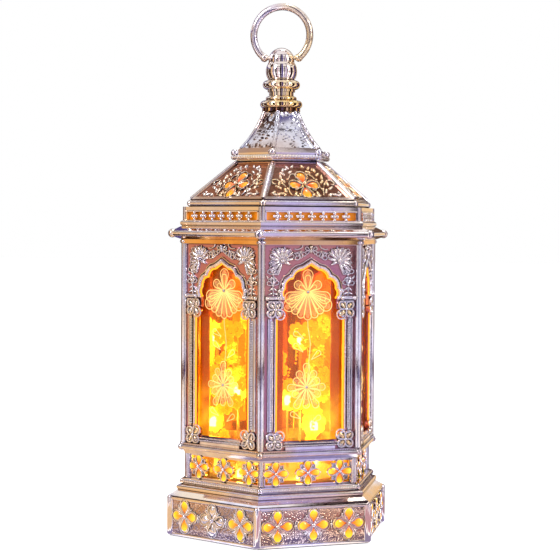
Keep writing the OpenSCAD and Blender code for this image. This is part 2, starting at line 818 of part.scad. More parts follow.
module lower_band() color(chrome) {
    side = band_side;
    on_corners(band_post_r) translate([0, 0, z_sill - band_h]) cylinder(d = band_post_d, h = band_h);
    on_faces(band_a - band_t) translate([-side / 2, z_band]) linear_extrude(band_t) {
        square([side, band_rail_h]);
        translate([0, band_h - band_rail_h]) square([side, band_rail_h]);
        for (x = [0, side - band_rail_h]) translate([x, 0]) square([band_rail_h, band_h]);
    }
    on_faces(band_a - band_t) translate([0, z_band + band_h / 2]) linear_extrude(band_t)
        intersection() {
            square([side, band_h], center = true);
            union() for (i = [-1 : 1]) translate([i * band_flower_pitch, 0]) {
                difference() {
                    band_flower(0);
                    band_flower(-band_petal_rim);
                }
                difference() {
                    band_leaves();
                    band_flower(0);
                }
                circle(d = button_d);
            }
        }
}

module lower_liner() color(amber) translate([0, 0, z_band])
    hex_ring(band_liner_a, band_liner_a - liner_t, band_h);

// Base

module base_steps() color(chrome) {
    outline = [for (s = step_shares) [(plinth_r - s[0] * steps_run) * flat_share,
        plinth_h + s[1] * steps_h]];
    difference() {
        union() {
            moulding() {
                side_outline(outline);
                roll([(plinth_r - step_roll_shares[0] * steps_run) * flat_share,
                    plinth_h + step_roll_shares[1] * steps_h], step_roll_d);
                roll([(plinth_r - rope_shares[0] * steps_run) * flat_share,
                    plinth_h + rope_shares[1] * steps_h], rope_d);
            }
            on_corners(plinth_r - rope_shares[0] * steps_run)
                translate([0, 0, plinth_h + rope_shares[1] * steps_h]) sphere(d = rope_d + rim_w);
            on_corners(column_r) translate([0, 0, z_plate])
                cylinder(d = column_d, h = plinth_h + steps_h - deck_t - z_plate);
        }
        hex_bore(deck_r * flat_share + slip, z_band - deck_t + over, z_band);
        difference() {
            hex_bore((deck_r - deck_ledge) * flat_share, plinth_h, z_band - deck_t);
            on_corners(column_r) translate([0, 0, z_plate]) cylinder(d = column_d, h = z_band);
        }
        on_corners(column_r) translate([0, 0, z_plate - over])
            cylinder(d = screw_d - slip, h = screw_l + over);
    }
}

module base_flowers(grow = 0) {
    for (i = [-1 : 1]) translate([i * base_flower_pitch, flower_z])
        flower(base_flower_w, base_flower_h, base_petal_w, grow);
}

module base_shell() color(chrome) {
    rail_a = (plinth_r - ball_proud) * flat_share - rail_h / 2;
    rail_bore_a = ground_a - shell_t / 2;
    difference() {
        union() {
            translate([0, 0, sink]) hex_ring(ground_a, inner_a, plinth_h - 2 * sink);
            for (z = [0, plinth_h - rail_h]) translate([0, 0, z]) difference() {
                moulding() {
                    side_outline([[rail_a, 0], [rail_a, rail_h]]);
                    roll([rail_a, rail_h / 2], rail_h);
                }
                hex_bore(rail_bore_a, 0, rail_h);
            }
            on_corners(plinth_r - corner_roll_d / 2) translate([0, 0, rail_h / 2])
                cylinder(d = corner_roll_d, h = plinth_h - rail_h);
            on_faces(ground_a - sink) {
                linear_extrude(sink + rim_rise) base_flowers(rim_w);
                linear_extrude(sink + leaf_rise)
                    for (i = [-1 : 1]) translate([i * base_flower_pitch, flower_z])
                        for (turn = [45 : 90 : 315]) rotate(turn) translate([button_d, 0])
                            pointed_petal(leaf_l, leaf_w);
            }
        }
        on_faces(inner_a - over) linear_extrude(shell_t + rim_rise + 2 * over) base_flowers();
    }
    on_faces(ground_a - sink) {
        for (i = [-1 : 1]) translate([i * base_flower_pitch, flower_z, 0]) sphere(d = button_d);
        for (i = [-1, 1]) translate([i * base_flower_pitch / 2, flower_z, 0]) sphere(d = bead_d);
    }
}

module base_liner() color(amber) {
    lens_a = inner_a - slip - base_lens_t;
    top = plinth_h - slip;
    on_faces(lens_a) translate([-base_lens_w / 2, z_plate]) linear_extrude(base_lens_t)
        square([base_lens_w, top - z_plate]);
    on_faces(lens_a + base_lens_t - sink) linear_extrude(sink + slip + shell_t - jewel_drop)
        base_flowers(-slip / 2);
}

module lamp_deck() color(black) translate([0, 0, z_band - deck_t]) difference() {
    hexagon(deck_r, deck_t);
    lead_places() translate([0, 0, -over]) cylinder(d = lead_d + 2 * slip, h = deck_t + 2 * over);
}

module lead_places() {
    for (y = [-1, 1]) translate([0, y * cell_pitch, 0]) children();
}

module lamp_board() color("#e6e4dc") translate([0, 0, z_band]) cylinder(r = board_r, h = board_t);

module band_lamps() color("#fff0c0") on_corners(0) rotate(half_turn)
    translate([band_lamp_r, 0, z_board]) {
        cylinder(d = band_lamp_d, h = band_lamp_h - band_lamp_d / 2);
        translate([0, 0, band_lamp_h - band_lamp_d / 2]) sphere(d = band_lamp_d);
    }

function lamp_place(i) = lamp_places[i - 1] * board_r;

module lamp_stem(i) color(steel) translate(lamp_place(i)) translate([0, 0, z_board])
    cylinder(d = stem_d, h = lamp_heights[i - 1] - lamp_d / 2);

module lamp_bulb(i) color("#fff0c0")
    translate(lamp_place(i)) translate([0, 0, z_board + lamp_heights[i - 1]]) {
        sphere(d = lamp_d);
        translate([0, 0, -lamp_d / 2]) cylinder(d = lamp_d, h = lamp_d / 2);
    }

module supply_leads() color("firebrick") lead_places()
    translate([0, 0, z_plate + box_h]) cylinder(d = lead_d, h = z_band - z_plate - box_h);

// Base plate, battery and switch

module base_plate() color(black) {
    guide_x = door_w / 2 + running;
    difference() {
        translate([0, 0, foot_h]) hexagon(plate_a / flat_share, plate_t);
        translate([-well_w / 2, -well_l / 2, foot_h - over]) cube([well_w, well_l, plate_t + 2 * over]);
        on_corners(column_r) translate([0, 0, foot_h - over])
            cylinder(d = screw_d + 2 * slip, h = plate_t + 2 * over);
        translate([switch_x - knob_w / 2 - running, -knob_l / 2 - running, foot_h - over])
            cube([knob_w + 2 * running, knob_l + switch_travel + 2 * running, plate_t + 2 * over]);
    }
    mirrored() translate([0, -door_l / 2, 0]) {
        translate([guide_x, 0, door_top - door_t - running - guide_lip_h])
            cube([guide_t, door_l, foot_h - door_top + door_t + running + guide_lip_h]);
        translate([guide_x - guide_lip, 0, door_top - door_t - running - guide_lip_h])
            cube([guide_lip + guide_t, door_l, guide_lip_h]);
    }
}

module base_screws() color(steel) on_corners(column_r) translate([0, 0, foot_h]) {
    translate([0, 0, -screw_head_h]) cylinder(d = screw_head_d, h = screw_head_h);
    cylinder(d = screw_d - slip, h = screw_l);
}

module battery_box() color(black) translate([0, 0, z_plate]) difference() {
    translate([-well_w / 2 - box_t, -well_l / 2 - box_t, 0])
        cube([well_w + 2 * box_t, well_l + 2 * box_t, box_h]);
    translate([-well_w / 2, -well_l / 2, -over]) cube([well_w, well_l, box_h - box_t + over]);
}

module cell_places() {
    for (i = [0 : cells - 1])
        translate([(i - (cells - 1) / 2) * cell_pitch, 0, cell_z])
            rotate([i % 2 == 0 ? -90 : 90, 0, 0]) children();
}

module battery_cells() color("#6d7f3a") cell_places() {
    translate([0, 0, -cell_l / 2]) cylinder(d = cell_d, h = cell_l - nib_h);
    translate([0, 0, cell_l / 2 - nib_h]) cylinder(d = nib_d, h = nib_h);
}

module contact_springs() color(steel) cell_places()
    translate([0, 0, -cell_l / 2 - contact_l + contact_t])
        cylinder(d1 = cell_d / 2, d2 = nib_d, h = contact_l - contact_t);

module contact_plates() color(steel) for (y = [-1, 1]) translate([0, y * well_l / 2, cell_z])
    translate([-well_w / 2 + cell_gap, y > 0 ? -contact_t : 0, -cell_d / 3])
        cube([well_w - 2 * cell_gap, contact_t, cell_d * 2 / 3]);

module battery_door() color(black) {
    translate([-door_w / 2, -door_l / 2, door_top - door_t]) cube([door_w, door_l, door_t]);
    for (i = [0 : grip_ribs - 1])
        translate([-grip_w / 2, door_l / 2 - (2 * i + 3) * 2 * grip_rib, door_top - door_t - grip_rise])
            cube([grip_w, grip_rib, grip_rise + sink]);
}

module switch_body() color(black) translate([switch_x, switch_travel / 2, z_plate]) difference() {
    wide = knob_w + 2 * knob_flange + 2 * running;
    long = knob_l + 2 * knob_flange + switch_travel + 2 * running;
    translate([-wide / 2 - switch_t, -long / 2 - switch_t, 0])
        cube([wide + 2 * switch_t, long + 2 * switch_t, switch_h]);
    translate([-wide / 2, -long / 2, -over])
        cube([wide, long, knob_flange_h + 2 * running + over]);
}

module switch_knob() color("#d8d8d8") translate([switch_x, 0, 0]) {
    translate([-knob_w / 2, -knob_l / 2, foot_h - knob_drop])
        cube([knob_w, knob_l, plate_t + knob_drop + running + sink]);
    translate([-knob_w / 2 - knob_flange, -knob_l / 2 - knob_flange, z_plate + running])
        cube([knob_w + 2 * knob_flange, knob_l + 2 * knob_flange, knob_flange_h]);
}

hanging_ring();
finial_head();
finial_neck();
finial_screw();
spire();
collar_ring();
roof_shell();
roof_liner();
frieze_ring();
frieze_liner();
eave_ring();
body_frame();
window_panel(1);  // window_panel_1
window_panel(2);  // window_panel_2
window_panel(3);  // window_panel_3
window_panel(4);  // window_panel_4
window_panel(5);  // window_panel_5
window_panel(6);  // window_panel_6
window_pane(1);  // window_pane_1
window_pane(2);  // window_pane_2
window_pane(3);  // window_pane_3
window_pane(4);  // window_pane_4
window_pane(5);  // window_pane_5
window_pane(6);  // window_pane_6
sill_ring();
lower_band();
lower_liner();
base_steps();
base_shell();
base_liner();
lamp_deck();
lamp_board();
band_lamps();
lamp_stem(1);  // lamp_stem_1
lamp_stem(2);  // lamp_stem_2
lamp_stem(3);  // lamp_stem_3
lamp_stem(4);  // lamp_stem_4
lamp_stem(5);  // lamp_stem_5
lamp_stem(6);  // lamp_stem_6
lamp_bulb(1);  // lamp_bulb_1
lamp_bulb(2);  // lamp_bulb_2
lamp_bulb(3);  // lamp_bulb_3
lamp_bulb(4);  // lamp_bulb_4
lamp_bulb(5);  // lamp_bulb_5
lamp_bulb(6);  // lamp_bulb_6
supply_leads();
base_plate();
base_screws();
battery_box();
battery_cells();
contact_springs();
contact_plates();
battery_door();
switch_body();
switch_knob();
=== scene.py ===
"""Looks of a hexagonal chrome-plated fanous lantern, lit from inside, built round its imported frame.

Meshes are drawn in millimetres and scaled when they become pieces, and angles are in degrees. A
drawing for a wall has X along the wall, Y up it and Z out of it; on_walls() then puts one copy on
each side.
"""

from math import asin, atan2, cos, degrees, hypot, pi, radians, sin, tan

import bmesh
import bpy
from mathutils import Matrix, Vector


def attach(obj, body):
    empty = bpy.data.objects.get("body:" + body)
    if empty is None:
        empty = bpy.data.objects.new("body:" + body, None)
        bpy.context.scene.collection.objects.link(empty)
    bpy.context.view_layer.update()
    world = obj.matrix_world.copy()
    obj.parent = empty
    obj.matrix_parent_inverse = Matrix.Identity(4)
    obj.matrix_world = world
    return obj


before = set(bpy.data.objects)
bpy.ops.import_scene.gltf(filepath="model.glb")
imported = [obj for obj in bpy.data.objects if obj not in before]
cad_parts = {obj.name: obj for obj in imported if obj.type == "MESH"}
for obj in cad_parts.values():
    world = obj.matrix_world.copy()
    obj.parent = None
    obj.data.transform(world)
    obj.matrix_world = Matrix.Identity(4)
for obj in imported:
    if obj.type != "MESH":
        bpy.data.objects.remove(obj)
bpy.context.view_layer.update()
scene = bpy.context.scene

MM = 0.001
SIDES = 6
Z_AXIS = Vector((0, 0, 1))
QUARTERS, DIAGONALS = (0, 90, 180, 270), (45, 135, 225, 315)    # turns of four petals
BEND_STEP = 22                      # how far a wire turns from one ring of its mesh to the next
SHARP_FROM = 40                     # an edge that bends by more than this isn't shaded smooth
VERT, EDGE, FACE = bmesh.types.BMVert, bmesh.types.BMEdge, bmesh.types.BMFace


# Drawing meshes

# puts the X, Y and Z of a drawing along, up and out of the wall that faces +X
STAND = Matrix(((0, 0, 1, 0), (1, 0, 0, 0), (0, 1, 0, 0), (0, 0, 0, 1)))


def wall(side, distance, height=0.0, pitch=pi / 2):
    """Matrix that stands a drawing on one side's wall, or lays it on a slope of some pitch in radians"""
    return (Matrix.Rotation(side * 2 * pi / SIDES, 4, "Z") @ Matrix.Translation((distance, 0, height))
            @ Matrix.Rotation(pitch - pi / 2, 4, "Y") @ STAND)


def only(kind, geom):
    return [part for part in geom if isinstance(part, kind)]


def on_walls(bm, distance, height, sides=range(SIDES), pitch=pi / 2):
    """Copies the drawing to each side's wall or slope and drops the flat original"""
    drawn = bm.verts[:] + bm.edges[:] + bm.faces[:]
    for side in sides:
        copied = bmesh.ops.duplicate(bm, geom=drawn)["geom"]
        bmesh.ops.transform(bm, matrix=wall(side, distance, height, pitch), verts=only(VERT, copied))
    bmesh.ops.delete(bm, geom=only(VERT, drawn), context="VERTS")
    return bm


def piece(name, bm, material, body="lantern"):
    """Turns a drawing in millimetres into a piece that rides on a body"""
    bmesh.ops.recalc_face_normals(bm, faces=bm.faces)
    bmesh.ops.scale(bm, vec=(MM, MM, MM), verts=bm.verts)
    mesh = bpy.data.meshes.new(name)
    bm.to_mesh(mesh)
    bm.free()
    mesh.shade_smooth()
    mesh.set_sharp_from_angle(angle=radians(SHARP_FROM))
    mesh.materials.append(material)
    made = bpy.data.objects.new(name, mesh)
    scene.collection.objects.link(made)
    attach(made, body)


def middle_of(thing):
    """Mean of a frame node's vertices, in metres"""
    verts = thing.data.vertices
    return sum((Vector(v.co) for v in verts), Vector()) / len(verts)


def polar(x, y, reach, turn, *height):
    """Point at some reach and turn from a place in a drawing, with its height where one is given"""
    return x + reach * cos(radians(turn)), y + reach * sin(radians(turn)), *height


def bead(bm, at, d, fine=1):
    bmesh.ops.create_icosphere(bm, subdivisions=fine, radius=d / 2, matrix=Matrix.Translation(at))


def bead_row(bm, start, end, d, pitch):
    start, end = Vector(start), Vector(end)
    count = max(1, round((end - start).length / pitch))
    for i in range(count + 1):
        bead(bm, start.lerp(end, i / count), d)


def leaf(bm, at, turn, length, width, height, point=1.0):
    """Domed leaf from a point, its tip narrowed by the share given"""
    made = bmesh.ops.create_icosphere(bm, subdivisions=2, radius=1)["verts"]
    for v in made:
        along = min(1.0, max(0.0, (v.co.x + 1) / 2))
        v.co.y *= 1 - point * along ** 2 * 0.8
        v.co.x = along * length
        v.co.y *= width / 2
        v.co.z *= height
    place = Matrix.Translation(at) @ Matrix.Rotation(radians(turn), 4, "Z")
    bmesh.ops.transform(bm, matrix=place, verts=made)


def rod(bm, start, end, d, sides):
    """Straight round rod between two points"""
    start, end = Vector(start), Vector(end)
    turn = (end - start).to_track_quat("Z", "Y").to_matrix().to_4x4()
    place = Matrix.Translation((start + end) / 2) @ turn
    bmesh.ops.create_cone(bm, cap_ends=True, segments=sides, radius1=d / 2, radius2=d / 2,
                          depth=(end - start).length, matrix=place)


def jewel(bm, at, turn, length, width, height, segments=20):
    """Domed teardrop stone whose narrow end is at the point given; "reach" grows from there"""
    reach = bm.verts.layers.float.get("reach") or bm.verts.layers.float.new("reach")
    made = bmesh.ops.create_uvsphere(bm, u_segments=segments, v_segments=10, radius=1)["verts"]
    for v in made:
        along = min(1.0, max(0.0, (v.co.x + 1) / 2))
        v[reach] = along
        v.co.x = along * length
        v.co.y *= width / 2 * (0.3 + 0.86 * along ** 0.75)
        v.co.z *= height * (0.6 + 0.4 * along)
    place = Matrix.Translation(at) @ Matrix.Rotation(radians(turn), 4, "Z")
    bmesh.ops.transform(bm, matrix=place, verts=made)


def wire(bm, at, heading, runs, d, lift=0.0, sides=6):
    """Round wire laid along a wall: a run is (length,) straight on or (radius, degrees) round a bend"""
    heading = radians(heading)
    here = Vector((at[0], at[1], lift))
    turn_up = Matrix.Rotation(heading, 4, "Z") @ Matrix.Rotation(pi / 2, 4, "Y")
    ring = bmesh.ops.create_circle(bm, cap_ends=True, segments=sides, radius=d / 2,
                                   matrix=Matrix.Translation(here) @ turn_up)["verts"]
    ring = ring + list({e for v in ring for e in v.link_edges})
    for run in runs:
        if len(run) == 1:
            grown = bmesh.ops.extrude_edge_only(bm, edges=only(EDGE, ring))["geom"]
            step = Vector((cos(heading), sin(heading), 0)) * run[0]
            verts = only(VERT, grown)
            bmesh.ops.translate(bm, vec=step, verts=verts)
            ring = verts + [e for e in only(EDGE, grown) if all(v in set(verts) for v in e.verts)]
            here = here + step
        else:
            radius, bend = run
            side = 1 if bend > 0 else -1
            centre = here + Vector((-sin(heading), cos(heading), 0)) * radius * side
            spun = bmesh.ops.spin(bm, geom=ring, cent=centre, axis=Z_AXIS, angle=radians(bend),
                                  steps=max(2, round(abs(bend) / BEND_STEP)))
            ring = spun["geom_last"]
            here = centre + Matrix.Rotation(radians(bend), 3, "Z") @ (here - centre)
            heading += radians(bend)
    bmesh.ops.contextual_create(bm, geom=only(EDGE, ring))


def block(bm, at, size):
    bmesh.ops.create_cube(bm, size=1, matrix=Matrix.Translation(at) @ Matrix.Diagonal((*size, 1)))


def dome(bm, at, d, height):
    """Low round dome standing out of a wall"""
    place = Matrix.Translation(at) @ Matrix.Diagonal((d / 2, d / 2, height, 1))
    bmesh.ops.create_icosphere(bm, subdivisions=2, radius=1, matrix=place)


def loop_petal(bm, at, turn, length, width, d, lift=0.0, sides=6):
    """Outline of a round-ended petal that starts and ends at its foot"""
    r = width / 2
    far = length - r
    lean = degrees(asin(r / far))
    straight = far * cos(radians(lean))
    wire(bm, at, turn - lean, [(straight,), (r, 180 + 2 * lean), (straight,)], d, lift, sides)


# Node groups and materials

def new_group(name, inputs, *outputs):
    """Node group of float inputs, as names and first values, and float outputs"""
    group = bpy.data.node_groups.new(name, "ShaderNodeTree")
    for label, value in inputs.items():
        socket = group.interface.new_socket(name=label, in_out="INPUT", socket_type="NodeSocketFloat")
        socket.default_value = value
    for label in outputs:
        group.interface.new_socket(name=label, in_out="OUTPUT", socket_type="NodeSocketFloat")
    return group, group.nodes.new("NodeGroupInput"), group.nodes.new("NodeGroupOutput")


def feed(tree, made, inputs):
    """Joins inputs of a node to sockets or sets them to plain values; a tuple is a colour"""
    for key, source in inputs.items():
        if isinstance(source, bpy.types.NodeSocket):
            tree.links.new(source, made.inputs[key])
        else:
            made.inputs[key].default_value = (*source, 1) if isinstance(source, tuple) else source


def node(tree, kind, inputs=None, **fields):
    """Adds a node and sets the fields and inputs given"""
    made = tree.nodes.new(kind)
    for key, value in fields.items():
        setattr(made, key, value)
    feed(tree, made, inputs or {})
    return made


def maths(tree, operation, *terms, **fields):
    return node(tree, "ShaderNodeMath", dict(enumerate(terms)), operation=operation, **fields).outputs[0]


def ranged(tree, value, low, high, first=0.0, last=1.0):
    """Value carried from the range low to high into the range first to last"""
    return node(tree, "ShaderNodeMapRange", {0: value, 1: low, 2: high, 3: first, 4: last}).outputs[0]


def cast_surface_group():
    """Fine ripple of a plated moulding: a height for a bump, a mask of wear and a mask of slow drift"""
    group, source, target = new_group(
        "cast surface", {"Scale": 900.0, "Wear scale": 140.0, "Drift scale": 34.0},
        "Height", "Wear", "Drift")
    place = node(group, "ShaderNodeTexCoord").outputs["Object"]
    for scale, detail, result in (("Scale", 3, "Height"), ("Wear scale", 2, "Wear"),
                                  ("Drift scale", 1, "Drift")):
        noise = node(group, "ShaderNodeTexNoise",
                     {"Vector": place, "Scale": source.outputs[scale], "Detail": detail})
        group.links.new(noise.outputs["Fac"], target.inputs[result])
    return group


def pitted_ground_group():
    """Stippled or hammered ground: round pits packed close together"""
    group, source, target = new_group("pitted ground", {"Scale": 900.0}, "Height")
    place = node(group, "ShaderNodeTexCoord").outputs["Object"]
    cells = node(group, "ShaderNodeTexVoronoi", {"Vector": place, "Scale": source.outputs["Scale"]})
    group.links.new(ranged(group, cells.outputs["Distance"], 0.0, 0.55), target.inputs["Height"])
    return group


def relief_group():
    """Mask of what stands out of the six walls or slopes, which start at a distance from the axis"""
    group, source, target = new_group("raised relief", {"Wall": 0.05, "Foot": 0.0, "Lean": 0.0}, "Relief")
    place = node(group, "ShaderNodeTexCoord").outputs["Object"]
    reach = None
    for turn in (0, 60, 120):
        outward = Vector((cos(radians(turn)), sin(radians(turn)), 0))
        along = node(group, "ShaderNodeVectorMath", {0: place, 1: outward}, operation="DOT_PRODUCT")
        size = maths(group, "ABSOLUTE", along.outputs["Value"])
        reach = size if reach is None else maths(group, "MAXIMUM", reach, size)
    up = node(group, "ShaderNodeSeparateXYZ", {0: place}).outputs["Z"]
    above = maths(group, "MAXIMUM", maths(group, "SUBTRACT", up, source.outputs["Foot"]), 0.0)
    leant = maths(group, "MULTIPLY_ADD", above, source.outputs["Lean"], reach)
    proud = maths(group, "SUBTRACT", leant, source.outputs["Wall"])
    group.links.new(ranged(group, proud, 0.00012, 0.00035), target.inputs["Relief"])
    return group


def lamp_light_group():
    """How near a point lies to one of the lit lamps, from 1 beside it to 0 far off"""
    group, source, target = new_group("lamp light", {"Near": 0.006, "Far": 0.036}, "Light")
    place = node(group, "ShaderNodeTexCoord").outputs["Object"]
    light = None
    for name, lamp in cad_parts.items():
        if name.startswith("lamp_bulb"):
            gap = node(group, "ShaderNodeVectorMath", {0: place, 1: middle_of(lamp)},
                       operation="DISTANCE")
            fall = node(group, "ShaderNodeMapRange",
                        {0: gap.outputs["Value"], 1: source.outputs["Near"], 2: source.outputs["Far"],
                         3: 1.0, 4: 0.0}, interpolation_type="SMOOTHSTEP").outputs[0]
            light = fall if light is None else maths(group, "ADD", light, fall)
    group.links.new(light, target.inputs["Light"])
    return group


CAST = cast_surface_group()
PITTED = pitted_ground_group()
RELIEF = relief_group()
LAMP_LIGHT = lamp_light_group()


def material(name):
    made = bpy.data.materials.new(name)
    made.use_nodes = True
    tree = made.node_tree
    shader = tree.nodes["Principled BSDF"]
    return made, tree, shader


def grouped(tree, group, inputs=None):
    """Outputs of a node group that has some of its inputs set"""
    return node(tree, "ShaderNodeGroup", inputs, node_tree=group).outputs


def mixed(tree, factor, a, b, kind="RGBA"):
    """Colour, or another kind of value, between two, each a socket or plain values"""
    made = node(tree, "ShaderNodeMix", {"Factor": factor}, data_type=kind)
    feed(tree, made, {"A": a, "B": b})
    return made.outputs["Result"]


def bumped(tree, height, strength, distance, normal=None):
    made = node(tree, "ShaderNodeBump", {"Height": height, 0: strength, 1: distance})
    if normal:
        tree.links.new(normal, made.inputs["Normal"])
    return made.outputs["Normal"]


def painted_hollow_shade(tree, distance, low, high):
    """Mask that is 0 in hollows narrower than a distance and 1 in the open, for painting shade into
    hollows
    """
    hollow = node(tree, "ShaderNodeAmbientOcclusion", {"Distance": distance}, samples=6)
    return ranged(tree, hollow.outputs["AO"], low, high)


def plated(name, bright, shade, warm, roughness=0.08, ground=None, ground_tone=None, pits=0.0,
           pit_scale=900.0, ripple=0.003, painted_shade_reach=0.0014, back=None):
    """Electroplated plastic: bright metal that drifts to a warm tone, dull where it is worn, with
    shade painted dark into its hollows; a ground behind the relief, given as its distance from the
    axis, the height of its foot and its lean, can have its own tone and pits, and a back nearer the
    axis than the distance given is bare plastic whose dark brown is partly painted shade. These
    lengths are in metres."""
    made, tree, shader = material(name)
    cast = grouped(tree, CAST)
    drift = ranged(tree, cast["Drift"], 0.42, 0.68)
    tone = mixed(tree, drift, mixed(tree, ranged(tree, cast["Wear"], 0.35, 0.7), bright, shade), warm)
    normal = bumped(tree, cast["Height"], ripple, 0.0002)
    rough = ranged(tree, cast["Wear"], 0.3, 0.8, roughness * 0.7, roughness * 1.6)
    if pits:
        dents = bumped(tree, grouped(tree, PITTED, {"Scale": pit_scale})["Height"], pits, 0.0005, normal)
    if ground:
        raised = grouped(tree, RELIEF, dict(zip(("Wall", "Foot", "Lean"), ground)))["Relief"]
        tone = mixed(tree, raised, mixed(tree, drift, *ground_tone), tone)
        if pits:
            normal = mixed(tree, raised, dents, normal, "VECTOR")
    elif pits:
        normal = dents
    # painted shade: the tone darkens to near black in hollows and creases within the reach given
    tone = mixed(tree, painted_hollow_shade(tree, painted_shade_reach, 0.32, 0.78), tuple(c * 0.12 for c in shade), tone)
    metallic = 1.0
    # the bare back's dark brown also stands in for the shade inside the windows, so it is partly painted
    # shade
    if back:
        metallic = grouped(tree, RELIEF, {"Wall": back})["Relief"]
        tone = mixed(tree, metallic, (0.16, 0.03, 0.008), tone)
        rough = mixed(tree, metallic, 0.5, rough, "FLOAT")
    feed(tree, shader, {"Metallic": metallic, "Base Color": tone, "Roughness": rough, "Normal": normal})
    return made


def clear_amber(name, colour, roughness, glow):
    """Tinted acrylic that what is behind it shows through, with a painted glow where a lamp is near"""
    made, tree, shader = material(name)
    cast = grouped(tree, CAST, {"Scale": 60.0})
    # painted glow: the acrylic gives out light in patches near the lamps, red where faint and yellow
    # where strong
    painted_glow_patches = maths(tree, "MULTIPLY", cast["Wear"], grouped(tree, LAMP_LIGHT)["Light"])
    lit = ranged(tree, painted_glow_patches, 0.0, 0.55, 0.12, 1.0)
    feed(tree, shader, {
        "Emission Color": mixed(tree, lit, (0.85, 0.14, 0.0), (1.0, 0.80, 0.03)),
        "Emission Strength": maths(tree, "MULTIPLY", lit, glow),
        "Transmission Weight": 1.0, "IOR": 1.49, "Specular IOR Level": 0.15,
        "Base Color": mixed(tree, cast["Drift"], colour, (colour[0], colour[1] * 0.8, colour[2])),
        "Roughness": ranged(tree, cast["Wear"], 0.3, 0.8, roughness * 0.6, roughness * 1.5),
        "Normal": bumped(tree, cast["Height"], 0.1, 0.0003)})
    return made


def painted_glow_enamel(name, foot, tip, glow):
    """Glossy translucent stone or edge with a painted glow for the light behind it, its colour running
    from its foot to its tip
    """
    made, tree, shader = material(name)
    reach = node(tree, "ShaderNodeAttribute", attribute_name="reach").outputs["Fac"]
    cast = grouped(tree, CAST)
    along = maths(tree, "MULTIPLY_ADD", cast["Wear"], 0.5, reach)
    tone = mixed(tree, ranged(tree, along, 0.35, 1.1), foot, tip)
    # painted glow: the stone or edge gives out light in its own colour
    feed(tree, shader, {
        "Base Color": tone, "Emission Color": tone, "Emission Strength": glow, "Roughness": 0.16,
        "Coat Weight": 0.8, "Coat Roughness": 0.05, "Normal": bumped(tree, cast["Height"], 0.1, 0.0002)})
    return made


def painted_lamp_glow(name, far, near, weak, strong):
    """Frosted plastic with a painted glow, faint, and bright beside a lamp, and painted shade in its
    hollows
    """
    made, tree, shader = material(name)
    light = grouped(tree, LAMP_LIGHT, {"Far": 0.022})["Light"]
    wear = grouped(tree, CAST, {"Wear scale": 420.0})["Wear"]
    lit = maths(tree, "MULTIPLY", light, wear, use_clamp=True)
    # painted shade: the glow turns deep orange in hollows such as the gaps between petals
    between = painted_hollow_shade(tree, 0.0022, 0.35, 0.8)
    feed(tree, shader, {
        "Emission Color": mixed(tree, between, (0.75, 0.20, 0.0), mixed(tree, lit, far, near)),
        "Emission Strength": ranged(tree, lit, 0.0, 0.6, weak, strong),
        "Base Color": mixed(tree, wear, (1.0, 0.62, 0.10), (1.0, 0.85, 0.35)), "Roughness": 0.35})
    return made


def plain(name, colour, roughness, metallic=0.0, emission=None, strength=0.0):
    """Moulded plastic or bare metal with a fine grain"""
    made, tree, shader = material(name)
    cast = grouped(tree, CAST, {"Scale": 1200.0})
    feed(tree, shader, {
        "Base Color": mixed(tree, cast["Wear"], tuple(c * 0.85 for c in colour), colour),
        "Metallic": metallic, "Roughness": roughness,
        "Normal": bumped(tree, cast["Height"], 0.2, 0.0001)})
    # an emission is the light of the lamps themselves, and a painted glow on the other parts given one
    if emission:
        feed(tree, shader, {"Emission Color": emission, "Emission Strength": strength})
    return made


SILVER, DULL, ROSE_GOLD = (0.90, 0.87, 0.97), (0.76, 0.70, 0.84), (0.92, 0.76, 0.62)
# the roof's slopes: distance and height of their foot, and how far they draw in and rise, in mm
SLOPE_FOOT, SLOPE_Z, SLOPE_RUN, SLOPE_RISE = 43.577, 177.3, 22.099, 20.4
CHROME = plated("bright plate", SILVER, DULL, ROSE_GOLD, painted_shade_reach=0.0009)
TRIM = plated("bright trim plate", (0.98, 0.95, 1.0), (0.90, 0.85, 0.96), (0.98, 0.84, 0.68), 0.2,
              painted_shade_reach=0.0005)
GILT = plated("gilt trim plate", (1.0, 0.80, 0.48), (0.92, 0.62, 0.34), (0.95, 0.90, 0.92), 0.2,
              painted_shade_reach=0.0005)
WINDOW_PLATE = plated("window plate", SILVER, DULL, ROSE_GOLD, ground=(0.046247, 0, 0), back=0.04435,
                      ground_tone=((0.58, 0.26, 0.32), (0.72, 0.32, 0.22)))
PLINTH_PLATE = plated("stippled plinth plate", SILVER, DULL, ROSE_GOLD, ground=(0.052794, 0, 0), pits=0.5,
                      ground_tone=((0.52, 0.42, 0.48), (0.66, 0.42, 0.28)))
FINIAL = plated("finial plate", SILVER, DULL, ROSE_GOLD, 0.03, ripple=0.0, painted_shade_reach=0.0009)
RING = plated("ring plate", (0.92, 0.86, 0.94), (0.70, 0.62, 0.76), (0.94, 0.74, 0.48), 0.12, ripple=0.0)
ROOF_PLATE = plated("roof plate", SILVER, DULL, ROSE_GOLD,
                    ground=(SLOPE_FOOT * MM, SLOPE_Z * MM, SLOPE_RUN / SLOPE_RISE),
                    ground_tone=((0.46, 0.22, 0.14), (0.56, 0.30, 0.24)))
# painted lamp light: a plate tone warmed orange for the glow that the lamps throw on it
PAINTED_LAMP_WARMTH = plated("painted lamp-warm plate", (0.98, 0.50, 0.14), (0.80, 0.36, 0.10), (0.95, 0.62, 0.30))
HAMMERED = plated("hammered spire plate", (0.80, 0.80, 0.92), (0.55, 0.50, 0.56), (0.74, 0.52, 0.38),
                  pits=0.5, pit_scale=330.0)
GOLD = plated("pale gold plate", (1.0, 0.76, 0.36), (0.88, 0.56, 0.24), (0.95, 0.86, 0.80), 0.04,
              ripple=0.0)
# painted glow: the pane and the liner give out light near the lamps
PANE = clear_amber("amber acrylic pane", (0.98, 0.50, 0.035), 0.05, glow=0.34)
LINER = clear_amber("amber acrylic liner", (1.0, 0.56, 0.04), 0.1, glow=0.5)
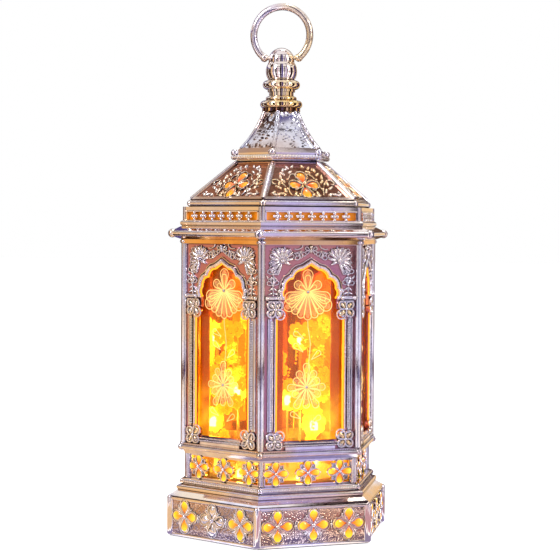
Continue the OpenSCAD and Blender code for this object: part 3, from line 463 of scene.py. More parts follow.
# painted glow: the liners, jewels and window edges give out light though none is a lamp
LIT_LINER = painted_glow_enamel("lit amber liner", (0.90, 0.28, 0.01), (1.0, 0.40, 0.02), 0.3)
RED_JEWEL = painted_glow_enamel("lit red amber jewel", (0.70, 0.04, 0.0), (1.0, 0.36, 0.0), 0.5)
JEWEL = painted_glow_enamel("lit amber jewel", (0.86, 0.12, 0.0), (1.0, 0.62, 0.01), 0.55)
LIT_EDGE = painted_glow_enamel("lit acrylic edge", (1.0, 0.40, 0.01), (1.0, 0.66, 0.05), 0.8)
# painted glow: the engraved lines and frosted petals give out light though they are no lamps
ENGRAVED = plain("engraved lines", (1.0, 0.70, 0.26), 0.4, emission=(1.0, 0.56, 0.14), strength=0.6)
FROSTED = plain("frosted petals", (1.0, 0.60, 0.25), 0.5, emission=(1.0, 0.48, 0.10), strength=0.35)
FROSTED.node_tree.nodes["Principled BSDF"].inputs["Alpha"].default_value = 0.22
# painted glow: the blossoms and garland wire give out light, brightest beside a lamp
BLOSSOM = painted_lamp_glow("lit blossoms", (0.85, 0.85, 0.12), (0.95, 1.0, 0.5), 0.9, 4.0)
GARLAND = painted_lamp_glow("lit garland wire", (0.90, 0.80, 0.15), (1.0, 0.95, 0.40), 0.9, 2.5)
# painted shade: dark brown blocks for the shade beside the panes, with a faint red painted glow
SHADE_BLOCK = plain("painted shade block", (0.30, 0.05, 0.01), 0.5, emission=(0.6, 0.07, 0.0), strength=0.25)
LAMP = plain("lit lamp", (1.0, 0.9, 0.6), 0.3, emission=(0.7, 0.85, 1.0), strength=300.0)
WIRE = plain("tinned wire", (0.6, 0.58, 0.55), 0.3, metallic=1.0)
STEEL = plain("zinc plated steel", (0.62, 0.63, 0.66), 0.3, metallic=1.0)
BLACK = plain("black moulded plastic", (0.03, 0.03, 0.032), 0.5)
GREY = plain("grey moulded plastic", (0.5, 0.5, 0.5), 0.45)
BOARD = plain("white lamp board", (0.8, 0.79, 0.75), 0.4)
CELL = plain("cell sleeve", (0.2, 0.24, 0.1), 0.35)
LEAD = plain("lead insulation", (0.45, 0.04, 0.03), 0.4)

FINISHES = {
    RING: ["hanging_ring"],
    FINIAL: ["finial_head"],
    CHROME: ["collar_ring", "frieze_ring", "eave_ring", "body_frame", "sill_ring",
             "lower_band", "base_steps"],
    WINDOW_PLATE: [f"window_panel_{i}" for i in range(1, 7)],
    PLINTH_PLATE: ["base_shell"],
    ROOF_PLATE: ["roof_shell"],
    HAMMERED: ["spire"],
    GOLD: ["finial_neck"],
    PANE: [f"window_pane_{i}" for i in range(1, 7)],
    LINER: ["lower_liner"],
    LIT_LINER: ["frieze_liner", "roof_liner", "base_liner"],
    LAMP: [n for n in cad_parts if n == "band_lamps" or n.startswith("lamp_bulb")],
    WIRE: [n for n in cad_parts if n.startswith("lamp_stem")],
    STEEL: ["finial_screw", "base_screws", "contact_springs", "contact_plates"],
    BLACK: ["lamp_deck", "base_plate", "battery_box", "battery_door", "switch_body"],
    GREY: ["switch_knob"],
    BOARD: ["lamp_board"],
    CELL: ["battery_cells"],
    LEAD: ["supply_leads"],
}
for finish, names in FINISHES.items():
    for name in names:
        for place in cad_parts[name].material_slots:
            place.link = "OBJECT"
            place.material = finish


# Sizes shared by the ornaments, in mm

# distance of each wall's face from the axis, and the height of Y = 0 in its drawing
PANEL_AT, PANE_AT, GROUND_AT, BAND_AT, FRIEZE_AT = 46.25, 44.05, 52.79, 43.99, 47.2
WINDOW_Z, FLOWER_Z, BAND_Z, FRIEZE_Z = 49.3, 11.35, 36.95, 163.4
FLOWER_UP = 11.1                    # how far up a roof slope its flower stands
# the window's opening; its arch has foils, as x, y and radius over the arch's half width and rise,
# and straight flanks that lean by so much to its point
OPENING_W, SPRING, ARCH_HALF, ARCH_RISE, FLANK_LEAN = 37.0, 77.9, 14.4, 17.5, 31
FOILS = [(0.324, 0.549, 0.361), (0.665, 0.326, 0.326), (0.819, 0.137, 0.243)]
CLOVER_X, CLOVER_YS = 19.48, (4.7, 72.1)
FLOWER_AT, DAISY_AT = (-0.6, 80.9), (-1.0, 31.8)    # the flowers engraved in a pane
BAND_FLOWERS = (-17.55, 0, 17.55)
PLINTH_FLOWERS = (-19.5, 0, 19.5)


def circles_meet(c0, r0, c1, r1):
    """Outer one of the two points where two circles cross"""
    gap = hypot(c1[0] - c0[0], c1[1] - c0[1])
    along = (gap * gap + r0 * r0 - r1 * r1) / (2 * gap)
    off = (r0 * r0 - along * along) ** 0.5
    dx, dy = (c1[0] - c0[0]) / gap, (c1[1] - c0[1]) / gap
    return c0[0] + dx * along - dy * off, c0[1] + dy * along + dx * off


def arc_wire(bm, centre, radius, start, end, d, lift):
    """Round wire along an arc between two angles in degrees"""
    heading = start + (90 if end > start else -90)
    wire(bm, polar(*centre, radius, start), heading, [(radius, end - start)], d, lift)


def arch_moulding(bm, grow, d, lift):
    """Right half of the foiled arch's outline, moved out by a given amount; mirror it for the left"""
    foils = [((x * ARCH_HALF, SPRING + y * ARCH_RISE), r * ARCH_HALF + grow) for x, y, r in FOILS]
    apex = (0.0, SPRING + ARCH_RISE + grow / cos(radians(FLANK_LEAN)))
    lean = tan(radians(FLANK_LEAN))
    # the straight flank of the point runs down until it meets the top foil
    (cx, cy), r = foils[0]
    a, b = 1 + lean * lean, -2 * cx - 2 * lean * (apex[1] - cy)
    c = cx * cx + (apex[1] - cy) ** 2 - r * r
    x = (-b - (b * b - 4 * a * c) ** 0.5) / (2 * a)
    corners = [(x, apex[1] - lean * x)]
    for (c0, r0), (c1, r1) in zip(foils, foils[1:]):
        corners.append(circles_meet(c0, r0, c1, r1))
    (cx, cy), r = foils[-1]
    corners.append((cx + (r * r - (cy - SPRING) ** 2) ** 0.5, SPRING))
    flank = hypot(corners[0][0], apex[1] - corners[0][1])
    wire(bm, apex, -FLANK_LEAN, [(flank,)], d, lift)
    bead(bm, (*apex, lift), d * 1.02, 2)
    for (centre, radius), start, end in zip(foils, corners, corners[1:]):
        angles = [degrees(atan2(p[1] - centre[1], p[0] - centre[0])) for p in (start, end)]
        arc_wire(bm, centre, radius, angles[0], angles[1], d, lift)
        bead(bm, (*end, lift), d * 1.02, 2)


def mirror_copy(bm):
    copied = bmesh.ops.duplicate(bm, geom=bm.verts[:] + bm.edges[:] + bm.faces[:])["geom"]
    bmesh.ops.scale(bm, vec=(-1, 1, 1), verts=only(VERT, copied))
    bmesh.ops.reverse_faces(bm, faces=only(FACE, copied))


def half_then_mirror(draw):
    """Drawing made of a right half and its mirror image"""
    bm = bmesh.new()
    draw(bm)
    mirror_copy(bm)
    return bm


def on_panels(bm):
    return on_walls(bm, PANEL_AT, WINDOW_Z)


def on_panes(bm):
    return on_walls(bm, PANE_AT, WINDOW_Z)


def on_slopes(bm):
    return on_walls(bm, SLOPE_FOOT, SLOPE_Z, pitch=atan2(SLOPE_RISE, SLOPE_RUN))


# Windows

def draw_spandrel(bm):
    """Right half of the relief over and beside a window"""
    at = (15.6, 97.0)
    for turn, length in [(-72, 8.4), (-44, 9.6), (-18, 8.0), (10, 7.4), (36, 9.0), (62, 8.2), (88, 7.4),
                         (114, 7.6), (142, 8.4), (172, 7.0), (206, 5.4)]:
        leaf(bm, polar(*at, 0.8, turn, 0.1), turn, length * 0.9, 2.2, 1.15)
    for turn, length in [(-58, 7.6), (-31, 7.8), (-4, 6.4), (23, 7.2), (49, 7.8), (75, 6.6), (101, 6.4),
                         (128, 7.0), (157, 6.6)]:
        loop_petal(bm, at, turn, length, 1.7, 0.5, 0.75)
    bead(bm, (*at, 1.2), 2.6, 2)
    # scroll towards the middle, its trefoil and the small flower over the arch's point
    wire(bm, (9.4, 100.6), 150, [(2.4, 80), (1.6, 150), (0.9, 150)], 0.7, lift=0.5)
    wire(bm, (9.2, 103.0), 200, [(4.0, -60), (1.6, -140), (0.8, -140)], 0.6, lift=0.5)
    for turn in (215, 270, 325):
        loop_petal(bm, (5.6, 101.6), turn, 3.2, 1.9, 0.6, lift=0.55)
    bead(bm, (5.6, 101.6, 0.7), 1.3)
    for turn in (30, 330):
        loop_petal(bm, (0.6, 102.2), turn, 2.9, 1.6, 0.6, lift=0.55)
    # stem with leaves and trefoils down the side
    wire(bm, (20.4, 90.5), 262, [(14.0, 20), (10.0, -24), (8.0, 18)], 0.7, lift=0.45)
    for y, lean in ((90.0, 6), (84.4, -4)):
        for turn in (90 + lean, 30 + lean, 150 + lean):
            loop_petal(bm, (20.6, y), turn, 3.5, 2.0, 0.6, lift=0.55)
        bead(bm, (20.6, y, 0.8), 1.4)
        for turn in (215, 325):
            leaf(bm, (20.6, y - 1.2, 0.1), turn, 3.2, 1.3, 0.8)
    for turn, reach in ((200, 3.6), (340, 3.2)):
        leaf(bm, (20.6, 80.6, 0.1), turn, reach, 1.4, 0.8)
    leaf(bm, (18.2, 90.8, 0.1), 130, 3.8, 1.4, 0.8)
    leaf(bm, (22.8, 87.2, 0.1), 60, 3.0, 1.2, 0.8)


def clover_foils():
    for y in CLOVER_YS:
        for turn in DIAGONALS:
            wide = turn == (225 if y > 30 else 135)
            yield y, turn, (6.3, 4.9) if wide else (5.0, 4.0)


def draw_clovers(bm):
    for y, turn, (length, width) in clover_foils():
        loop_petal(bm, (CLOVER_X, y), turn, length, width, 0.95, 1.05)
    for y in CLOVER_YS:
        for turn in QUARTERS:
            leaf(bm, (CLOVER_X, y, 0.8), turn, 3.2, 1.2, 0.7)
        bead(bm, (CLOVER_X, y, 1.3), 2.0, 2)


def draw_clover_cores(bm):
    for y, turn, (length, width) in clover_foils():
        leaf(bm, polar(CLOVER_X, y, 0.8, turn, 0.9), turn, length * 0.72, width * 0.5, 0.75, 0.2)


def draw_columns(bm):
    for x in (20.7, 21.5):
        bead_row(bm, (x, 11.0, 0.75), (x, 65.8, 0.75), 0.85, 0.86)
    for x, d in ((19.3, 0.9), (22.9, 0.9)):
        wire(bm, (x, 9.6), 90, [(57.6,)], d, lift=0.25)
    # capital bar with a bead at each end
    wire(bm, (17.55, SPRING - 0.1), 0, [(6.8,)], 1.5, lift=1.2)
    for x in (17.3, 24.0):
        bead(bm, (x, SPRING - 0.1, 1.4), 2.3, 2)
    wire(bm, (18.0, SPRING - 1.8), 0, [(5.4,)], 0.9, lift=1.1)
    bead(bm, (16.9, 81.4, 0.9), 2.7, 2)
    bead(bm, (16.9, 81.4, 1.8), 1.3, 2)


def draw_reveal(bm):
    arch_moulding(bm, -0.25, 1.1, -0.1)
    wire(bm, (OPENING_W / 2 - 0.2, 9.0), 90, [(58.6,)], 1.1, lift=-0.1)


bm = half_then_mirror(draw_spandrel)
bead(bm, (0, 104.0, 0.9), 1.9, 2)
leaf(bm, (0, 100.6, 0.3), 90, 3.2, 1.6, 0.9, 0.4)
piece("window_arabesques", on_panels(bm), TRIM)
piece("window_clovers", on_panels(half_then_mirror(draw_clovers)), TRIM)
piece("clover_cores", on_panels(half_then_mirror(draw_clover_cores)), GILT)
piece("window_columns", on_panels(half_then_mirror(draw_columns)), TRIM)
for name, grow, d, lift, made in (("window_arches", 0.95, 1.75, 0.85, TRIM),
                                  ("arch_rims", 2.7, 0.6, 0.3, GILT)):
    piece(name, on_panels(half_then_mirror(lambda bm: arch_moulding(bm, grow, d, lift))), made)
piece("window_reveals", on_panels(half_then_mirror(draw_reveal)), LIT_EDGE)

# Two rows of fine beads along the ledge under each window
bm = bmesh.new()
for y, out in ((3.4, 1.0), (2.2, 1.6)):
    bead_row(bm, (-17.5, y, out), (17.5, y, out), 0.8, 0.9)
piece("ledge_beads", on_panels(bm), TRIM)


def draw_pane_flowers(bm):
    """Right half of the flowers engraved in a pane"""
    for turn, length, width, d in [(34, 8.6, 4.4, 0.46), (-18, 13.0, 6.2, 0.46), (-34, 15.4, 6.4, 0.46),
                                   (-54, 13.6, 4.4, 0.46), (-72, 14.0, 4.0, 0.46), (-20, 10.6, 3.2, 0.34),
                                   (-36, 12.4, 3.0, 0.34), (-30, 8.0, 2.0, 0.34), (-56, 10.5, 1.6, 0.34),
                                   (34, 5.6, 2.2, 0.34)]:
        loop_petal(bm, FLOWER_AT, turn, length, width, d, sides=4)


def engraved_daisy(bm, at, reaches, width):
    for i, reach in enumerate(reaches):
        turn = 90 + i * 360 / len(reaches)
        loop_petal(bm, at, turn, reach, width, 0.42, sides=4)
        loop_petal(bm, at, turn, reach * 0.6, width * 0.45, 0.3, sides=4)


# how far each petal of the daisy reaches
DAISY = (12.4, 9.6, 8.2, 10.4, 8.8, 12.2, 10.8, 12.2, 8.8, 10.4, 8.2, 9.6)
bm = bmesh.new()
draw_pane_flowers(bm)
# the flower's other half is mirrored about its own middle, not the pane's
bmesh.ops.translate(bm, vec=(-FLOWER_AT[0], 0, 0), verts=bm.verts)
mirror_copy(bm)
bmesh.ops.translate(bm, vec=(FLOWER_AT[0], 0, 0), verts=bm.verts)
for turn, reach, width, d in ((90, 11.4, 5.6, 0.4), (90, 8.6, 3.0, 0.4), (-90, 14.4, 4.2, 0.42)):
    loop_petal(bm, FLOWER_AT, turn, reach, width, d, sides=4)
wire(bm, (FLOWER_AT[0], 66.2), -90, [(28.0, 14), (26.0, -24), (30.0, 14)], 0.4, sides=4)
engraved_daisy(bm, DAISY_AT, DAISY, 3.6)
for x, y, turn in ((-2.6, 57.0, 150), (-3.0, 50.0, 140), (1.6, 46.0, 40), (-4.0, 15.6, 150),
                   (1.6, 13.0, 35)):
    loop_petal(bm, (x, y), turn, 6.4, 2.6, 0.38, sides=4)
piece("pane_engraving", on_panes(bm), ENGRAVED)
bm = bmesh.new()
# petals that overlap lie a hair apart, so that they don't share a plane
for turn, length, width in [(34, 8.2, 4.0), (146, 8.2, 4.0), (90, 11.0, 5.2), (-18, 12.6, 5.8),
                            (198, 12.6, 5.8), (-34, 15.0, 6.0), (214, 15.0, 6.0), (-54, 13.2, 4.0),
                            (234, 13.2, 4.0), (-72, 13.6, 3.6), (252, 13.6, 3.6), (270, 14.0, 3.8)]:
    leaf(bm, (*FLOWER_AT, 0.02 + abs(turn) * 0.0001), turn, length, width, 0.05, 0.1)
for i, reach in enumerate(DAISY):
    leaf(bm, (*DAISY_AT, 0.03 + i * 0.001), 90 + i * 360 / len(DAISY), reach * 0.96, 3.2, 0.05, 0.1)
piece("frosted_petals", on_panes(bm), FROSTED)
bm = bmesh.new()
for at, d in ((FLOWER_AT, 2.0), (DAISY_AT, 1.8)):
    bead(bm, (*at, 0.1), d, 2)
piece("pane_studs", on_panes(bm), STEEL)


# Garlands with a painted glow behind the panes: blossoms, as place and petals' reach, and the wires
# between
GARLAND_AT, SHADE_BLOCK_AT = PANE_AT - 4.6, PANE_AT - 3.0
BLOSSOMS = [(-5.3, 60.9, 4.4), (2.0, 61.6, 4.8), (6.9, 56.8, 4.6), (0.4, 55.4, 3.6), (-14.4, 47.2, 4.2),
            (-13.6, 40.8, 4.0), (10.4, 38.2, 4.0), (11.8, 32.4, 4.2), (8.6, 27.6, 4.0),
            (-15.2, 31.8, 3.8), (-9.0, 32.6, 3.8), (-4.8, 23.4, 4.6), (1.6, 19.4, 3.6), (6.4, 18.2, 3.2),
            (3.2, 5.4, 3.4), (-17.2, 60.0, 2.6), (3.6, 46.6, 2.6), (7.6, 44.4, 2.4)]
GARLANDS = [((0.4, 55.0), 272, [(20.0, 12), (24.0, -20), (16.0, 24)]),
            ((-5.3, 58.0), 262, [(26.0, 14), (18.0, -16)]),
            ((-14.0, 40.0), 280, [(14.0, 30), (10.0, -30)]),
            ((-7.0, 22.0), 290, [(16.0, -30), (10.0, 20)]),
            ((4.4, 20.0), 262, [(30.0, 10), (20.0, -14)]),
            ((10.6, 36.0), 110, [(16.0, 30), (12.0, -10)])]
BEADED = [(-5.6, 44.0, 10.0), (0.8, 42.0, 10.0), (3.0, 43.0, 5.0), (-15.2, 56.0, 5.0), (-10.0, 36.0, 5.0),
          (4.0, 6.0, 10.0)]


def blossom(bm, at, reach, petals=6, bare=False):
    for i in range(petals):
        dome(bm, polar(*at, reach * 0.62, 360 * (i + 0.3) / petals, 0.4), reach * 0.78, 1.1)
    if not bare:
        dome(bm, (*at, 0.9), reach * 0.45, 0.9)


def draw_garlands(bm):
    for at, heading, runs in GARLANDS:
        wire(bm, at, heading, runs, 0.5, sides=5)
    for x, y, up in BEADED:
        bead_row(bm, (x, y, 0.3), (x + 1.2, y + up, 0.3), 1.3, 1.9)


def draw_blossoms(bm):
    for x, y, reach in BLOSSOMS:
        blossom(bm, (x, y), reach)


for name, draw, made in (("garland_wires", draw_garlands, GARLAND),
                         ("garland_blossoms", draw_blossoms, BLOSSOM)):
    bm = bmesh.new()
    draw(bm)
    mirrored = bm.copy()
    bmesh.ops.scale(mirrored, vec=(-1, 1, 1), verts=mirrored.verts)
    piece(name + "_a", on_walls(bm, GARLAND_AT, WINDOW_Z, (1, 3, 5)), made)
    piece(name + "_b", on_walls(mirrored, GARLAND_AT, WINDOW_Z, (0, 2, 4)), made)

# A ring of petals with a painted glow round each lamp, turned to the window that it shines through
bm = bmesh.new()
for number, side in ((1, 5), (2, 5), (3, 5), (4, 4), (5, 4), (6, 4)):
    middle = middle_of(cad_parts[f"lamp_bulb_{number}"]) / MM
    started = len(bm.verts)
    blossom(bm, (0, 0), 7.0, 8, bare=True)
    bm.verts.ensure_lookup_table()
    bmesh.ops.transform(bm, matrix=Matrix.Translation(middle) @ wall(side, 0), verts=bm.verts[started:])
piece("lamp_petals", bm, BLOSSOM)

# Dark blocks inside the windows beside the panes, standing in for the shade there, with a faint painted
# glow
bm = bmesh.new()
for x in (-16.2, 16.2):
    block(bm, (x, 50, 0), (6.0, 99, 0.8))
piece("inner_shade_blocks", on_walls(bm, SHADE_BLOCK_AT, WINDOW_Z), SHADE_BLOCK)


# Lower band and its rope

bm = bmesh.new()
for x in BAND_FLOWERS:
    for turn, length in ((0, 6.0), (90, 5.6), (180, 6.0), (270, 5.6)):
        jewel(bm, polar(x, 0, 0.8, turn, 0.25), turn, length, 3.5, 0.85, 16)
piece("band_petals", on_walls(bm, BAND_AT, BAND_Z), JEWEL)
bm = bmesh.new()
for x in BAND_FLOWERS:
    bead(bm, (x, 0, 1.0), 2.1, 2)
    for turn in DIAGONALS:
        loop_petal(bm, polar(x, 0, 1.0, turn), turn, 4.6, 1.9, 0.55, 0.5)
        leaf(bm, polar(x, 0, 1.6, turn, 0.4), turn, 2.8, 1.0, 0.6)
    for turn, reach in ((0, 6.9), (90, 6.3), (180, 6.9), (270, 6.3)):
        bead(bm, polar(x, 0, reach, turn, 0.5), 1.1)
    for turn, length in ((0, 6.6), (90, 6.2), (180, 6.6), (270, 6.2)):
        loop_petal(bm, (x, 0), turn, length, 4.3, 0.5, 0.55)
piece("band_tendrils", on_walls(bm, BAND_AT, BAND_Z), TRIM)


def side_row(distance, height, half, d, pitch):
    """Row of beads along each side, half of it on either hand of the middle"""
    bm = bmesh.new()
    bead_row(bm, (-half, 0, 0), (half, 0, 0), d, pitch)
    return on_walls(bm, distance, height)


piece("rope_beads", side_row(47.3, 28.8, 26.6, 2.0, 1.3), TRIM)
piece("sill_beads", side_row(47.3, 48.5, 26.0, 1.4, 1.3), TRIM)

# painted lamp light: a warm orange band under the eave
bm = bmesh.new()
block(bm, (0, 0, 0), (52.6, 2.2, 0.5))
piece("eave_painted_lamp_warmth", on_walls(bm, 48.05, 155.6), PAINTED_LAMP_WARMTH)


# Plinth

def draw_plinth_relief(bm):
    for x in PLINTH_FLOWERS:
        bead(bm, (x, 0, 0.6), 2.2, 2)
        for turn in DIAGONALS:
            foot = polar(x, 0, 1.6, turn)
            wire(bm, foot, turn, [(3.2,), (1.1, 150)], 0.55, lift=0.35)
            leaf(bm, polar(*foot, 2.6, turn, 0.1), turn - 18, 3.4, 1.3, 0.8)
        for turn in QUARTERS:
            loop_petal(bm, (x, 0), turn, 8.9, 6.3, 0.45, 0.55)
            across, up = polar(0, 0, 9.3, turn)
            bead(bm, (x + across, up * 0.93, 0.5), 0.9)
    for x in (-9.75, 9.75):
        bead(bm, (x, 0, 0.7), 1.5, 2)
        for turn in (90, 270):
            leaf(bm, (x, 0, 0.2), turn, 2.6, 1.1, 0.7)
    for x in (-29.0, 29.0):
        bead(bm, (x, 0, 0.4), 1.1)


bm = bmesh.new()
draw_plinth_relief(bm)
piece("plinth_tendrils", on_walls(bm, GROUND_AT, FLOWER_Z), TRIM)


def plinth_petals(places, sides):
    bm = bmesh.new()
    for x in places:
        for turn in QUARTERS:
            jewel(bm, polar(x, 0, 1.1, turn, -0.4), turn, 7.5, 6.1, 1.7)
    return on_walls(bm, GROUND_AT, FLOWER_Z, sides)


LEFT_FRONT = 4                      # the side whose middle flower is plated instead of lit
piece("plinth_jewels", plinth_petals(PLINTH_FLOWERS[::2], range(SIDES)), JEWEL)
piece("plinth_middle_jewels", plinth_petals((0,), [i for i in range(SIDES) if i != LEFT_FRONT]), JEWEL)
piece("plinth_plated_petals", plinth_petals((0,), [LEFT_FRONT]), TRIM)


def to_corner(side):
    return Matrix.Rotation(radians(side * 60 + 30), 3, "Z")


# Rolls down the corners of the plinth and the lower band
bm = bmesh.new()
for side in range(SIDES):
    for r, low, high, d in ((60.8, 2.0, 20.2, 3.2), (51.4, 31.4, 43.6, 2.8)):
        foot, top = (to_corner(side) @ Vector((r, 0, z)) for z in (low, high))
        rod(bm, foot, top, d, 24)
        bead(bm, top, d, 3)
        bead(bm, foot, d, 3)
piece("corner_rolls", bm, CHROME)


# Roof, frieze and collar

def draw_roof_relief(bm):
    """Right half of the leaves and scrolls on a roof slope"""
    wire(bm, (8.6, 3.2), 60, [(6.0, 60), (2.6, 120), (1.2, 150)], 0.7, lift=0.45)
    wire(bm, (10.4, 9.4), 80, [(9.0, -40), (2.2, -150), (1.0, -120)], 0.6, lift=0.45)
    wire(bm, (7.2, 16.0), 100, [(5.0, 50), (2.0, 140), (0.9, 120)], 0.6, lift=0.45)
    for x, y, turn, length in ((11.2, 3.4, 20, 4.2), (14.0, 4.4, -20, 4.0), (10.6, 5.2, 70, 3.8),
                               (16.8, 3.0, 35, 3.6), (12.8, 8.2, 30, 4.0), (13.6, 10.8, 100, 3.6),
                               (9.6, 12.8, 50, 3.8), (11.4, 15.8, 90, 3.8), (8.4, 18.6, 40, 3.6),
                               (9.2, 21.4, 110, 3.6), (6.4, 20.4, 150, 3.4), (5.2, 23.4, 60, 3.4),
                               (3.4, 24.6, 120, 3.0), (4.4, 2.6, 10, 3.6), (6.6, 3.6, 120, 3.0),
                               (2.6, 3.0, 40, 2.6)):
        leaf(bm, (x, y, 0.1), turn, length, 1.9, 1.0)
    for x, y in ((12.4, 3.0), (9.8, 8.0), (11.6, 12.0), (8.0, 15.4), (7.4, 23.0), (17.55, 5.6)):
        bead(bm, (x, y, 0.4), 1.3, 2)


bm = half_then_mirror(draw_roof_relief)
bead(bm, (0, FLOWER_UP, 1.8), 2.2, 2)
for turn, length in ((0, 8.3), (90, 10.0), (180, 8.3), (270, 10.0)):
    loop_petal(bm, (0, FLOWER_UP), turn, length, 6.6, 0.55, 0.9)
piece("roof_leaves", on_slopes(bm), GILT)
bm = bmesh.new()
for side in range(SIDES):
    foot, top = (to_corner(side) @ Vector(end) for end in ((49.9, 0, 178.0), (25.2, 0, 197.4)))
    rod(bm, foot, top, 2.2, 16)
piece("roof_ribs", bm, CHROME)
bm = bmesh.new()
for turn in QUARTERS:
    length = 6.9 if turn % 180 == 0 else 8.6
    jewel(bm, polar(0, FLOWER_UP, 1.0, turn, -0.4), turn, length, 5.9, 2.2)
piece("roof_jewels", on_slopes(bm), RED_JEWEL)

piece("collar_beads", side_row(23.35, 200.2, 13.2, 2.7, 1.6), TRIM)

bm = bmesh.new()
for y in (3.1, 7.9):
    wire(bm, (-25.0, y), 0, [(50.0,)], 0.9, lift=0.15)
piece("frieze_rails", on_walls(bm, FRIEZE_AT, FRIEZE_Z), TRIM)
bm = bmesh.new()
for i in range(7):
    x = (i - 3) * 6.3
    for turn, reach in ((0, 1.45), (90, 1.75), (180, 1.45), (270, 1.75)):
        dome(bm, polar(x, 5.5, reach, turn, 0.0), 1.9, 0.95)
    dome(bm, (x, 5.5, 0.0), 2.0, 1.2)
piece("frieze_crosses", on_walls(bm, FRIEZE_AT, FRIEZE_Z), TRIM)


# Stage, lights and camera

def stage_piece(name, bm, materials):
    mesh = bpy.data.meshes.new(name)
    bm.to_mesh(mesh)
    bm.free()
    for made in materials:
        mesh.materials.append(made)
    staged = bpy.data.objects.new(name, mesh)
    scene.collection.objects.link(staged)
    return staged


def seen_rays(tree):
    """1 for camera, glossy and transmission rays, and 0 for those that only carry light"""
    rays = node(tree, "ShaderNodeLightPath").outputs
    shown = maths(tree, "MAXIMUM", rays["Is Camera Ray"], rays["Is Glossy Ray"])
    return maths(tree, "MAXIMUM", shown, rays["Is Transmission Ray"])


def either(tree, factor, first, second):
    return node(tree, "ShaderNodeMixShader", {"Fac": factor, 1: first, 2: second}).outputs[0]


def stage_floor():
    """Pale floor, shown white where it is seen, and clear from below to let the underside be seen"""
    bm = bmesh.new()
    bmesh.ops.create_grid(bm, x_segments=1, y_segments=1, size=6)
    made, tree, shader = material("pale floor")
    feed(tree, shader, {"Base Color": (0.9, 0.9, 0.91), "Roughness": 0.7})
    shaded = shader.outputs[0]
    glow = node(tree, "ShaderNodeEmission", {1: 0.6}).outputs[0]
    whiter = node(tree, "ShaderNodeAddShader", {0: shaded, 1: glow}).outputs[0]
    above = either(tree, seen_rays(tree), shaded, whiter)
    under = node(tree, "ShaderNodeNewGeometry").outputs["Backfacing"]
    clear = node(tree, "ShaderNodeBsdfTransparent").outputs[0]
    feed(tree, tree.nodes["Material Output"], {"Surface": either(tree, under, above, clear)})
    stage_piece("floor", bm, [made])


def studio_world():
    """Faint cool light all round, which is seen as plain white"""
    world = bpy.data.worlds.new("studio")
    scene.world = world
    world.use_nodes = True
    tree = world.node_tree
    light = tree.nodes["Background"]
    feed(tree, light, {"Color": (0.92, 0.93, 1.0), "Strength": 0.5})
    white = node(tree, "ShaderNodeBackground", {"Color": (1, 1, 1), "Strength": 1.0})
    shown = either(tree, seen_rays(tree), light.outputs[0], white.outputs[0])
    feed(tree, tree.nodes["World Output"], {"Surface": shown})


AIM = Vector((0, 0, 0.15))          # what the softboxes point at


def softbox(name, place, size, watts):
    lamp = bpy.data.lights.new(name, "AREA")
    lamp.shape = "RECTANGLE"
    lamp.size, lamp.size_y = size
    lamp.energy = watts
    made = bpy.data.objects.new(name, lamp)
    scene.collection.objects.link(made)
    made.location = place
    made.rotation_euler = (AIM - Vector(place)).to_track_quat("-Z", "Y").to_euler()


# Studio cards that only reflections see, with the white studio between them. Each has a tone, a
# bearing from the lantern and a width in degrees.
CARD_TONES = {"black": (0.03, 0.012, 0.02), "lilac": (0.64, 0.58, 0.84), "gold": (0.90, 0.62, 0.34),
              "rose": (0.62, 0.36, 0.42), "umber": (0.14, 0.08, 0.055), "bronze": (0.5, 0.34, 0.24),
              "indigo": (0.10, 0.08, 0.30), "slate": (0.32, 0.28, 0.46)}
CARD_AWAY, RING_AWAY, CARD_CENTRE = 0.42, 0.40, 0.16        # distances and height, in metres
UPRIGHT_FOOT, FLOOR_REACH = -22, 0.15       # elevation, and distance where their floor strip ends
UPRIGHT_CARDS = [                   # up to an elevation in degrees
    # towards the lens, where the front corner and every rounded middle looks
    ("black", -172, 14, 26), ("gold", -157, 14, 36), ("indigo", -144, 8, 36), ("black", -121, 12, 36),
    ("rose", -108, 6, 36), ("black", -86, 12, 62), ("indigo", -73, 12, 62), ("black", -56, 6, 44),
    ("lilac", -44, 12, 40), ("black", -35, 5, 44), ("rose", -20, 6, 36), ("black", 2, 20, 34),
    ("gold", 25, 8, 34),
    # dark behind the lantern, which draws a dark line down the edge of everything round
    ("indigo", 38, 16, 34), ("black", 57, 20, 34), ("gold", 73, 8, 34), ("umber", 84, 12, 44),
    ("black", 102, 22, 44), ("indigo", 124, 18, 44), ("gold", 138, 6, 30), ("black", 152, 20, 28),
    ("umber", 174, 16, 24),
]
RING_CARDS = [                      # between two elevations; the level mouldings turn them into lines
    ("black", -90, 359, 12, 14), ("indigo", -90, 359, 25, 28), ("black", -90, 359, 40, 43),
    ("black", -90, 359, -16, -14),
]
HIGH_CARDS = [                      # between two elevations, for the roof and the spire
    ("umber", 42, 36, 66, 80), ("bronze", 144, 30, 46, 58), ("black", -60, 160, 58, 60),
    ("umber", 170, 34, 53, 66), ("black", 12, 16, 50, 62), ("indigo", -35, 7, 46, 62),
    ("umber", -168, 22, 31, 50),
]
FLOOR_CARDS = [                     # between two distances in metres
    ("slate", -32, 125, 0.060, 0.080), ("rose", -32, 125, 0.088, 0.15),
    ("indigo", -32, 125, 0.158, 0.166), ("lilac", -32, 125, 0.18, 0.27),
    ("indigo", -32, 125, 0.33, 0.36), ("slate", -140, 85, 0.060, 0.070),
    ("gold", -150, 95, 0.074, 0.15), ("umber", -150, 95, 0.158, 0.166),
    ("gold", -150, 95, 0.19, 0.25), ("rose", -150, 95, 0.27, 0.33), ("umber", 90, 120, 0.08, 0.4),
]


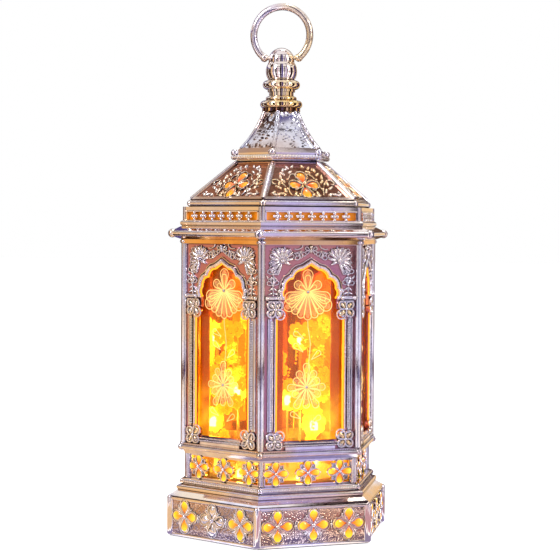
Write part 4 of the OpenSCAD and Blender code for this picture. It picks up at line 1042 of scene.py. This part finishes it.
def sweep_card(bm, tone, bearing, width, *rim):
    """Turns a rim of two points, as distance and height, round the lantern's axis"""
    foot = [bmesh.ops.create_vert(bm, co=(away, 0, up))["vert"][0] for away, up in rim]
    edge = bm.edges.new(foot)
    bmesh.ops.rotate(bm, verts=foot, cent=(0, 0, 0),
                     matrix=Matrix.Rotation(radians(bearing - width / 2), 3, "Z"))
    bmesh.ops.spin(bm, geom=foot + [edge], cent=(0, 0, 0), axis=Z_AXIS, angle=radians(width),
                   steps=max(1, round(width / 10)))
    for face in bm.faces:
        if not face.tag:
            face.material_index = list(CARD_TONES).index(tone)
            face.tag = True


def reflection_cards():
    tones = []
    for tone, colour in CARD_TONES.items():
        made, tree, shader = material(tone + " card")
        tree.nodes.remove(shader)
        glow = node(tree, "ShaderNodeEmission", {0: colour, 1: 1.0})
        feed(tree, tree.nodes["Material Output"], {"Surface": glow.outputs[0]})
        tones.append(made)
    bm = bmesh.new()
    for *card, high in UPRIGHT_CARDS:
        foot, top = (polar(0, CARD_CENTRE, CARD_AWAY, turn) for turn in (UPRIGHT_FOOT, high))
        sweep_card(bm, *card, foot, top)
        # they run on over the floor, towards the plinth
        sweep_card(bm, *card, (foot[0], 0.002), (FLOOR_REACH, 0.002))
    for away, cards in ((RING_AWAY, RING_CARDS), (CARD_AWAY, HIGH_CARDS)):
        for *card, low, high in cards:
            sweep_card(bm, *card, *(polar(0, CARD_CENTRE, away, turn) for turn in (low, high)))
    for *card, near, far in FLOOR_CARDS:
        sweep_card(bm, *card, (near, 0.001), (far, 0.001))
    cards = stage_piece("reflection_cards", bm, tones)
    cards.visible_camera = cards.visible_diffuse = False
    cards.visible_transmission = cards.visible_shadow = False


# The photograph's camera, from a fit of the hexagon's corners; lengths in metres, focal length in pixels
AZIMUTH, PITCH, ROLL = radians(10.2), radians(-1.99), radians(0.40)
DISTANCE, EYE_HEIGHT, FOCAL, FRAME_WIDTH, SENSOR = 0.907, 0.1663, 1686, 560, 36.0


def photo_camera():
    lens = bpy.data.cameras.new("camera")
    lens.sensor_width = SENSOR
    lens.lens = FOCAL / FRAME_WIDTH * SENSOR
    lens.clip_start = 0.01
    camera = bpy.data.objects.new("camera", lens)
    scene.collection.objects.link(camera)
    ahead = Vector((-sin(AZIMUTH) * cos(PITCH), cos(AZIMUTH) * cos(PITCH), sin(PITCH)))
    level = ahead.cross(Z_AXIS).normalized()
    up = level.cross(ahead)
    right = cos(ROLL) * level + sin(ROLL) * up
    up = right.cross(ahead)
    turn = Matrix((right, up, -ahead)).transposed().to_4x4()
    eye = Vector((sin(AZIMUTH) * DISTANCE, -cos(AZIMUTH) * DISTANCE, EYE_HEIGHT))
    camera.matrix_world = Matrix.Translation(eye) @ turn
    scene.camera = camera


stage_floor()
studio_world()
reflection_cards()
softbox("key softbox", (-1.2, -1.4, 1.3), (0.5, 0.9), 22)
softbox("side softbox", (1.6, -0.6, 0.9), (0.3, 1.0), 14)
softbox("top softbox", (0.2, 0.6, 2.0), (0.6, 0.4), 12)
photo_camera()
scene.view_settings.view_transform = "Standard"
